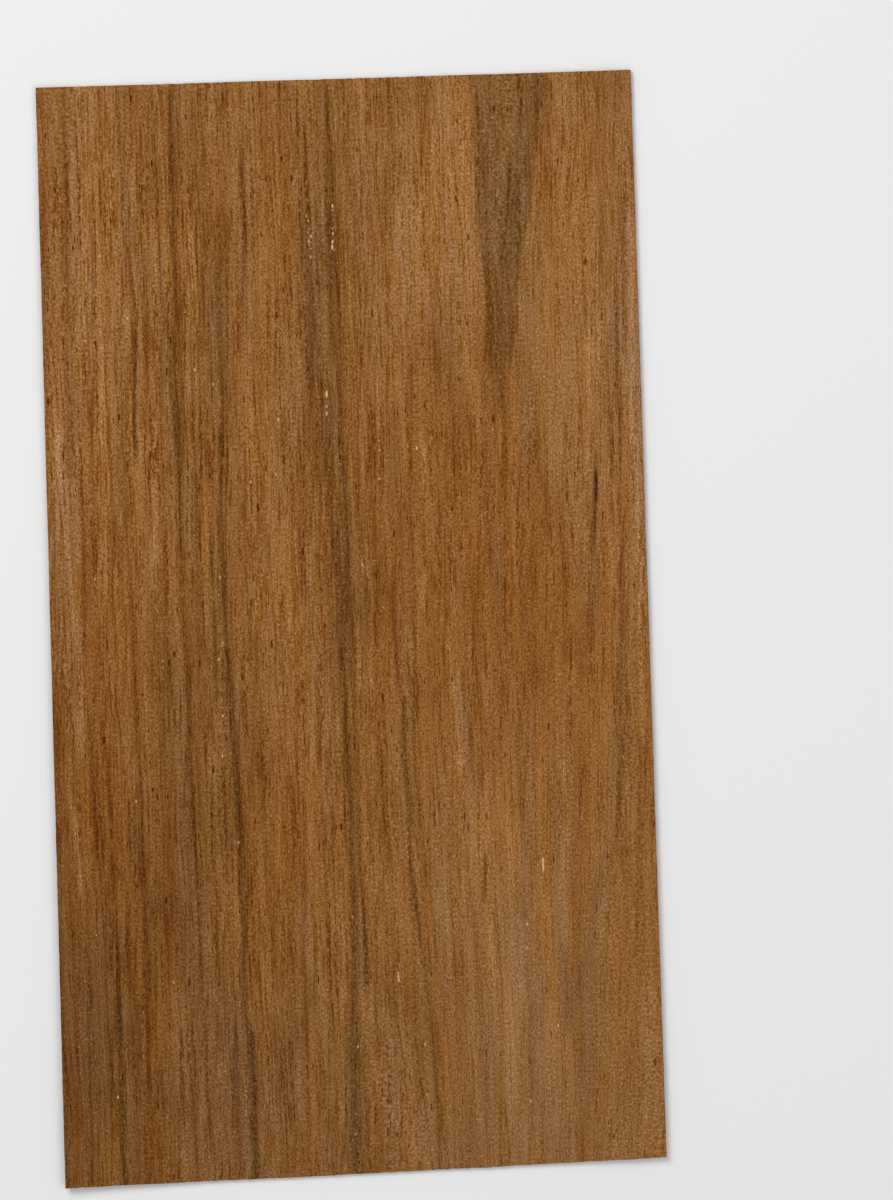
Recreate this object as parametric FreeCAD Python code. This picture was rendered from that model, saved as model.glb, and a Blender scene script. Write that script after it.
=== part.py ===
"""One sheet of sliced walnut veneer, lying as it rests on a level floor. Millimetres, +Z up.

X runs across the grain, Y along it towards the head end. The origin is on the floor, in the middle of the
sheet's bounding box. The sheet is one leaf of wood of even thickness, cut to a near rectangle with a knife:
it is a little narrower at the head, and its foot end is cut slightly out of square. It has dried on one face
more than on the other, so it lies flat along the middle while both long edges stand off the floor, more at
the foot than at the head. Each lifted margin is a large cylinder that leaves the floor along a line slanting
slightly to the grain.
"""

import FreeCAD, Part
import math
import os

# The leaf
LENGTH = 220.0  # head to foot, along the left edge
WIDTH_HEAD = 118.9
WIDTH_FOOT = 120.2
THICKNESS = 0.75
FOOT_OUT_OF_SQUARE = 2.5  # how much further up the sheet the foot cut ends on the right than it starts on the left
FOOT_BOW = 0.3  # how far the foot cut bulges beyond a straight line

# The lifted margins: how far in from the long edge the sheet leaves the floor, and the radius it lifts with
LEFT_MARGIN_HEAD = 24.0
LEFT_MARGIN_FOOT = 46.0
LEFT_CURL_RADIUS = 950.0
RIGHT_MARGIN_HEAD = 27.0
RIGHT_MARGIN_FOOT = 42.0
RIGHT_CURL_RADIUS = 1100.0

# How far the uncut leaf runs past the knife cuts on every side, as a share of the sheet's length
WASTE_SHARE = 0.1
WASTE = WASTE_SHARE * LENGTH


def point(x, y, z=0.0):
    """A point of the sheet's frame, in millimetres."""
    return FreeCAD.Vector(x, y, z)


def edge_x(side, y):
    """X of the long knife cut at y, on the left for side -1 and on the right for side 1."""
    toward_foot = 0.5 - y / LENGTH
    width = WIDTH_HEAD + (WIDTH_FOOT - WIDTH_HEAD) * toward_foot
    return side * width / 2


def cut_outline():
    """The closed line of the four knife cuts, seen from above: three straight cuts and a slightly bowed foot."""
    head_y = LENGTH / 2
    foot_left_y = -LENGTH / 2
    foot_right_y = foot_left_y + FOOT_OUT_OF_SQUARE
    head_left = point(edge_x(-1, head_y), head_y)
    head_right = point(edge_x(1, head_y), head_y)
    foot_left = point(edge_x(-1, foot_left_y), foot_left_y)
    foot_right = point(edge_x(1, foot_right_y), foot_right_y)
    foot_chord = foot_right - foot_left
    outward = point(foot_chord.y, -foot_chord.x).normalize()
    foot_middle = (foot_left + foot_right) * 0.5 + outward * FOOT_BOW
    return Part.Wire(
        [
            Part.LineSegment(foot_right, head_right).toShape(),
            Part.LineSegment(head_right, head_left).toShape(),
            Part.LineSegment(head_left, foot_left).toShape(),
            Part.Arc(foot_left, foot_middle, foot_right).toShape(),
        ]
    )


def lift_line(side, margin_head, margin_foot):
    """The line on the floor where one margin starts to lift, run past both ends of the sheet by the waste.

    It returns the line's foot point and head point.
    """
    head = point(edge_x(side, LENGTH / 2) - side * margin_head, LENGTH / 2)
    foot = point(edge_x(side, -LENGTH / 2) - side * margin_foot, -LENGTH / 2)
    along = (head - foot).normalize()
    return foot - along * WASTE, head + along * WASTE


def flat_middle(left_line, right_line):
    """The strip between the two lift lines, which lies on the floor."""
    left_foot, left_head = left_line
    right_foot, right_head = right_line
    strip = Part.makePolygon([left_foot, right_foot, right_head, left_head, left_foot])
    return Part.Face(strip).extrude(point(0, 0, THICKNESS))


def lifted_margin(side, line, reach, radius):
    """One margin of the leaf, bent up about an axis over its lift line and reaching past the long cut.

    The profile is a sector of a ring: the underside has the given radius and the upper face is inside it by
    the thickness, so the margin leaves the flat middle without a crease.
    """
    foot, head = line
    along = head - foot
    outward = point(side * along.y, -side * along.x).normalize()
    axis = foot + point(0, 0, radius)
    sweep = math.asin((reach + WASTE) / radius)

    def at(ring_radius, angle):
        """The point of the profile at an angle from the lift line, on a ring of that radius."""
        return axis + outward * (ring_radius * math.sin(angle)) - point(0, 0, ring_radius * math.cos(angle))

    upper_radius = radius - THICKNESS
    profile = Part.Wire(
        [
            Part.Arc(at(radius, 0), at(radius, sweep / 2), at(radius, sweep)).toShape(),
            Part.LineSegment(at(radius, sweep), at(upper_radius, sweep)).toShape(),
            Part.Arc(at(upper_radius, sweep), at(upper_radius, sweep / 2), at(upper_radius, 0)).toShape(),
            Part.LineSegment(at(upper_radius, 0), at(radius, 0)).toShape(),
        ]
    )
    return Part.Face(profile).extrude(along)


def uncut_leaf():
    """The leaf before it is cut to size: the flat middle with a lifted margin on either side."""
    left_line = lift_line(-1, LEFT_MARGIN_HEAD, LEFT_MARGIN_FOOT)
    right_line = lift_line(1, RIGHT_MARGIN_HEAD, RIGHT_MARGIN_FOOT)
    left_reach = max(LEFT_MARGIN_HEAD, LEFT_MARGIN_FOOT)
    right_reach = max(RIGHT_MARGIN_HEAD, RIGHT_MARGIN_FOOT)
    left = lifted_margin(-1, left_line, left_reach, LEFT_CURL_RADIUS)
    right = lifted_margin(1, right_line, right_reach, RIGHT_CURL_RADIUS)
    return flat_middle(left_line, right_line).fuse([left, right]).removeSplitter()


def veneer_sheet():
    """The finished sheet: the leaf, cut straight down along the outline."""
    leaf = uncut_leaf()
    height = leaf.BoundBox.ZMax
    knife = Part.Face(cut_outline())
    knife.translate(point(0, 0, -height))
    cut = leaf.common(knife.extrude(point(0, 0, 3 * height))).removeSplitter()
    (sheet,) = cut.Solids
    return sheet


os.makedirs("parts", exist_ok=True)
sheet = veneer_sheet()
sheet.exportStep("parts/veneer_sheet.step")
box = sheet.BoundBox
print(f"veneer_sheet: valid {sheet.isValid()}, {sheet.Volume / 1000:.3f} cm3, {len(sheet.Faces)} faces")
print(f"box {box.XMin:.3f}..{box.XMax:.3f}, {box.YMin:.3f}..{box.YMax:.3f}, {box.ZMin:.3f}..{box.ZMax:.3f}")
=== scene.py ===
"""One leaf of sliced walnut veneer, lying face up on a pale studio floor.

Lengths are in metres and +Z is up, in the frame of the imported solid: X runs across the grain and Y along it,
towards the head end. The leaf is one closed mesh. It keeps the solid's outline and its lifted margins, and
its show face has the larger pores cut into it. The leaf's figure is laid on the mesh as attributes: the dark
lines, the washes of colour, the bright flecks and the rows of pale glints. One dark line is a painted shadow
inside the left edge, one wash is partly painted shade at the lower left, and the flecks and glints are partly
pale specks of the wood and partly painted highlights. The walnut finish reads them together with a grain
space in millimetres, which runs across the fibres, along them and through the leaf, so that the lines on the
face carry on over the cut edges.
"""

import logging
import math
from dataclasses import dataclass
from enum import Enum

import bmesh
import bpy
import numpy as np
from mathutils import Matrix, Vector


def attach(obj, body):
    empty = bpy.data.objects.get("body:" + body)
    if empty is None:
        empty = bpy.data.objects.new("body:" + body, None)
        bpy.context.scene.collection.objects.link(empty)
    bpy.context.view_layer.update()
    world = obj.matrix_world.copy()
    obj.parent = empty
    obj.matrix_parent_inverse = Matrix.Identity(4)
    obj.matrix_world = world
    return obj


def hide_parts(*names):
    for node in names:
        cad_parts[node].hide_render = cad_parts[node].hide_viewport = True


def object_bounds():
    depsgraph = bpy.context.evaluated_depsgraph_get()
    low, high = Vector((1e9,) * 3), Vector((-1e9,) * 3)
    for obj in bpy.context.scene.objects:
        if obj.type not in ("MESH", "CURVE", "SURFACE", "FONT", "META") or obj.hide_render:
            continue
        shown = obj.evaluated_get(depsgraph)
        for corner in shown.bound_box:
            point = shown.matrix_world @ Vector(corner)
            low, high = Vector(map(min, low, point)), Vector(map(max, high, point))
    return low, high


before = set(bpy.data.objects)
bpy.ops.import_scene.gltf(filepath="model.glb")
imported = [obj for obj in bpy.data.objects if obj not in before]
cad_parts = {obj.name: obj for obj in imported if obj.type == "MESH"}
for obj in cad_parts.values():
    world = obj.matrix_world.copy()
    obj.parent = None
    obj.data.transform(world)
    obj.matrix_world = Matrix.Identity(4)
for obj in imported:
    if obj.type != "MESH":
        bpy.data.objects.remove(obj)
CAD_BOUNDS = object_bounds()

MM = 0.001
SHEET_NODE = "veneer_sheet"
SHEET_BODY = "root"

# A point of the blank counts as on a broad face, or on the rim, when it is nearer to it than this
FACE_SLACK = 0.001
RIM_SLACK = 0.0001

log = logging.getLogger("walnut_leaf")


def linear(red: int, green: int, blue: int) -> tuple[float, float, float]:
    """Turns a colour as a screen shows it into the linear values that shaders take.

    Args:
        red: Red, from 0 to 255.
        green: Green, from 0 to 255.
        blue: Blue, from 0 to 255.

    Returns:
        The three linear values, from 0 to 1.
    """
    shares = [channel / 255 for channel in (red, green, blue)]
    # A screen's curve is straight near black and a power above it
    return tuple(s / 12.92 if s <= 0.04045 else ((s + 0.055) / 1.055) ** 2.4 for s in shares)


def ease(share: np.ndarray) -> np.ndarray:
    """A smooth step: 0 to 1 without a corner at either end, for shares from 0 to 1."""
    clipped = np.clip(share, 0.0, 1.0)
    return clipped * clipped * (3.0 - 2.0 * clipped)


@dataclass(frozen=True)
class Ripple:
    """Smooth seeded unevenness over a plane, from -1 to 1, with one hill or hollow to each cell of a grid.

    The cells are as large as across and along say, in the units of the points that are read.
    """

    seed: int
    across: float = 1.0
    along: float = 1.0
    knots: int = 251

    def at(self, a: np.ndarray, b: np.ndarray) -> np.ndarray:
        """Reads the unevenness.

        Args:
            a: The points' first coordinates.
            b: The points' second coordinates.

        Returns:
            One value from -1 to 1 for each point.
        """
        table = np.random.RandomState(self.seed).uniform(-1.0, 1.0, (self.knots, self.knots))
        cell_a, cell_b = a / self.across, b / self.along
        low_a = np.floor(cell_a).astype(int)
        low_b = np.floor(cell_b).astype(int)
        part_a = ease(cell_a - low_a)
        part_b = ease(cell_b - low_b)
        row, next_row = low_a % self.knots, (low_a + 1) % self.knots
        column, next_column = low_b % self.knots, (low_b + 1) % self.knots
        near = table[row, column] * (1 - part_b) + table[row, next_column] * part_b
        far = table[next_row, column] * (1 - part_b) + table[next_row, next_column] * part_b
        return near * (1 - part_a) + far * part_a

    def on_line(self, a: np.ndarray) -> np.ndarray:
        """Reads the unevenness along one line, the middle of the first row of cells."""
        return self.at(a, np.full_like(a, self.along / 2))


class Side(Enum):
    """The two long sides of the leaf, with the sign of X on each."""

    LEFT = -1
    RIGHT = 1


@dataclass(frozen=True)
class LiftedMargin:
    """A long margin that has dried up off the floor, bent about a large radius.

    It leaves the floor along a straight line that slants slightly to the grain.
    """

    side: Side
    inset_head: float
    inset_foot: float
    radius: float

    def reach(self, shape: "LeafShape", x: np.ndarray, y: np.ndarray) -> np.ndarray:
        """How far points lie past the line where the margin lifts, square to that line.

        Args:
            shape: The leaf that the margin belongs to.
            x: The points' X.
            y: The points' Y.

        Returns:
            The distances, which are 0 on the flat middle.
        """
        sign = self.side.value
        line_head = shape.half_width(shape.head_y) - self.inset_head
        line_foot = shape.half_width(-shape.head_y) - self.inset_foot
        lean = (line_head - line_foot) / shape.length
        line = line_foot + lean * (y + shape.head_y)
        return np.maximum(sign * x - line, 0.0) * math.cos(math.atan(lean))


@dataclass(frozen=True)
class LeafShape:
    """The leaf as it was cut and as it lies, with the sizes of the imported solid."""

    length: float = 220.0 * MM
    width_head: float = 118.9 * MM
    width_foot: float = 120.2 * MM
    thickness: float = 0.75 * MM
    foot_rise: float = 2.5 * MM
    foot_bow: float = 0.3 * MM
    margins: tuple[LiftedMargin, ...] = (
        LiftedMargin(Side.LEFT, inset_head=24.0 * MM, inset_foot=46.0 * MM, radius=950.0 * MM),
        LiftedMargin(Side.RIGHT, inset_head=27.0 * MM, inset_foot=42.0 * MM, radius=1100.0 * MM),
    )

    @property
    def head_y(self) -> float:
        """Y of the head cut; the foot cut starts as far below zero on the left."""
        return self.length / 2

    def half_width(self, y: np.ndarray) -> np.ndarray:
        """Half the leaf's width at each Y."""
        toward_foot = 0.5 - y / self.length
        return (self.width_head + (self.width_foot - self.width_head) * toward_foot) / 2

    def place(self, across: np.ndarray, along: np.ndarray) -> tuple[np.ndarray, np.ndarray]:
        """Lays points of a square blank out on the cut leaf.

        Args:
            across: Place across the blank, from -1 on the left to 1 on the right.
            along: Place along the blank, from -1 at the foot to 1 at the head.

        Returns:
            The points' X and Y.
        """
        foot_y = -self.head_y + self.foot_rise * (across + 1) / 2 - self.foot_bow * (1 - across**2)
        y = foot_y + (self.head_y - foot_y) * (along + 1) / 2
        return across * self.half_width(y), y

    def height(self, x: np.ndarray, y: np.ndarray, level: np.ndarray) -> np.ndarray:
        """Z of points at a level in the wood.

        Args:
            x: The points' X.
            y: The points' Y.
            level: 0 on the underside and 1 on the show face.

        Returns:
            The points' Z.
        """
        z = level * self.thickness
        for margin in self.margins:
            reach = margin.reach(self, x, y)
            ring = margin.radius - level * self.thickness
            z = np.where(reach > 0, margin.radius - np.sqrt(ring**2 - reach**2), z)
        return z


@dataclass(frozen=True)
class GrainFlow:
    """How the fibres lean as they run from the head to the foot, in millimetres.

    A lean is how far a fibre moves to the right for each unit that it runs towards the foot. It changes from
    station to station across the leaf, and from the head half to the foot half, where the fibres draw in
    towards one line.
    """

    stations: tuple[float, ...] = (-60, -50, -33, -20, 0, 13, 28, 38, 48, 60)
    lean_head: tuple[float, ...] = (0.03, 0.0, 0.005, 0.01, 0.0, 0.0, -0.01, -0.05, -0.04, -0.01)
    lean_foot: tuple[float, ...] = (0.04, 0.01, 0.01, 0.02, 0.0, 0.04, 0.01, -0.03, -0.06, -0.03)
    turn_at: float = -5.0
    turn_length: float = 50.0
    sway: float = 0.7
    swaying: Ripple = Ripple(seed=11, across=11.0, along=46.0)

    def across(self, x: np.ndarray, y: np.ndarray) -> np.ndarray:
        """Follows each point's fibre to the middle of the leaf.

        Args:
            x: The points' X, in millimetres.
            y: The points' Y, in millimetres.

        Returns:
            The X at which each fibre crosses the middle, in millimetres.
        """
        foot_share = ease(0.5 - (y - self.turn_at) / self.turn_length)
        head_lean = np.interp(x, self.stations, self.lean_head)
        foot_lean = np.interp(x, self.stations, self.lean_foot)
        lean = head_lean * (1 - foot_share) + foot_lean * foot_share
        return x + lean * y + self.sway * self.swaying.at(x, y)


class Tint(Enum):
    """The ways in which walnut departs from plain brown, as weights of rust and grey."""

    NONE = (0.0, 0.0)
    RUST = (1.0, 0.0)
    GREY = (0.0, 1.0)


class Stain(Enum):
    """What a mark at full strength does to the wood: the factors on its linear red, green and blue."""

    MINERAL = (0.32, 0.28, 0.15)
    HEART = (0.52, 0.38, 0.22)
    SHADE = (0.46, 0.48, 0.45)
    ASH = (1.38, 1.62, 2.70)
    PALE = (1.62, 1.83, 2.45)
    GUM = (0.10, 0.07, 0.03)


@dataclass(frozen=True)
class Streak:
    """A line of colour that runs with the grain.

    The path is its middle line, in millimetres, from the head towards the foot. The strength is how much of
    its stain shows along the middle, from 0 to 1. The line fades at both ends, sways and swells a little, and
    is broken up by gaps.
    """

    path: tuple[tuple[float, float], ...]
    half_width: float
    strength: float
    stain: Stain
    fade: float = 6.0
    broken: float = 0.35
    sway: float = 0.25
    sway_length: float = 9.0
    swell: float = 0.3
    swell_length: float = 7.0
    gap_width: float = 0.6
    gap_length: float = 3.5

    def weight(self, x: np.ndarray, y: np.ndarray, seed: int) -> np.ndarray:
        """How strongly the streak stains each point.

        Args:
            x: The points' X, in millimetres.
            y: The points' Y, in millimetres.
            seed: The first of three seeds, for the sway, the swell and the gaps.

        Returns:
            Shares from 0, beside the streak, to about its strength along its middle.
        """
        stations_x, stations_y = np.array(self.path[::-1]).T
        middle = np.interp(y, stations_y, stations_x) + self.sway * Ripple(seed, self.sway_length).on_line(y)
        uneven = 1.0 + self.swell * Ripple(seed + 1, self.swell_length).on_line(y)
        profile = self.strength * np.exp(-(((x - middle) / (self.half_width * uneven)) ** 2))
        ends = ease((stations_y[-1] - y) / self.fade + 0.5) * ease((y - stations_y[0]) / self.fade + 0.5)
        gaps = 0.5 + 0.5 * Ripple(seed + 2, self.gap_width, self.gap_length).at(x, y)
        return profile * ends * (1.0 - self.broken * gaps)


@dataclass(frozen=True)
class Wash:
    """A soft change of colour about a point, in millimetres. It slants by slant for each unit of X."""

    x: float
    y: float
    half_width: float
    half_length: float
    tone: float
    tint: Tint = Tint.NONE
    tint_weight: float = 0.0
    slant: float = 0.0

    def weight(self, x: np.ndarray, y: np.ndarray) -> np.ndarray:
        """How strongly the wash shows at each point.

        Args:
            x: The points' X, in millimetres.
            y: The points' Y, in millimetres.

        Returns:
            Shares from 0, far off, to 1 at the middle.
        """
        across = (x - self.x) / self.half_width
        along = (y - self.y - self.slant * (x - self.x)) / self.half_length
        return np.exp(-(across**2) - along**2)


@dataclass(frozen=True)
class Fleck:
    """A small bright fleck drawn out along the grain, in millimetres; partly a painted highlight."""

    x: float
    y: float
    half_width: float = 0.19
    half_length: float = 0.32
    strength: float = 0.6
    clear: float = 3.0

    def offset(self, x: np.ndarray, y: np.ndarray) -> np.ndarray:
        """Where points lie from the fleck's middle.

        Args:
            x: The points' X, in millimetres.
            y: The points' Y, in millimetres.

        Returns:
            One row for each point: how far it lies across and along in half widths and half lengths, and the
            fleck's strength, which fades out at the clear distance.
        """
        across, along = x - self.x, y - self.y
        nearness = np.clip(1.0 - np.hypot(across, along) / self.clear, 0.0, 1.0)
        columns = [across / self.half_width, along / self.half_length, self.strength * nearness]
        return np.stack(columns, axis=1)


@dataclass(frozen=True)
class Wedge:
    """A dark tongue of heartwood that enters at the head and narrows to a point, in millimetres.

    Its two sides run from the head towards the foot. They are ragged, and the stain between them is patchy.
    """

    left: tuple[tuple[float, float], ...] = (
        (27.0, 110), (27.4, 84), (28.6, 74), (29.3, 66), (28.9, 55), (30.0, 46), (30.8, 41),
    )
    right: tuple[tuple[float, float], ...] = (
        (43.0, 110), (39.2, 84), (37.2, 74), (35.6, 66), (34.9, 58), (33.2, 50), (32.8, 43), (31.4, 40),
    )
    edge: float = 0.6
    strength: float = 0.52
    stain: Stain = Stain.SHADE
    raggedness: float = 0.7
    rags: Ripple = Ripple(seed=71, across=0.8, along=12.0)
    patchiness: float = 0.2
    patches: Ripple = Ripple(seed=72, across=0.7, along=9.0)
    tip_y: float = 38.0
    tip_fade: float = 8.0

    def weight(self, x: np.ndarray, y: np.ndarray) -> np.ndarray:
        """How strongly the tongue shows at each point.

        Args:
            x: The points' X, in millimetres.
            y: The points' Y, in millimetres.

        Returns:
            Shares from 0 outside the tongue to about its strength inside it.
        """
        ragged = self.raggedness * self.rags.at(x, y)
        left_x, left_y = np.array(self.left[::-1]).T
        right_x, right_y = np.array(self.right[::-1]).T
        past_left = x - np.interp(y, left_y, left_x) + ragged
        short_of_right = np.interp(y, right_y, right_x) + ragged - x
        inside = ease(past_left / self.edge) * ease(short_of_right / self.edge)
        uneven = 1.0 - self.patchiness + self.patchiness * self.patches.at(x, y)
        return self.strength * inside * ease((y - self.tip_y) / self.tip_fade) * uneven


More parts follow.
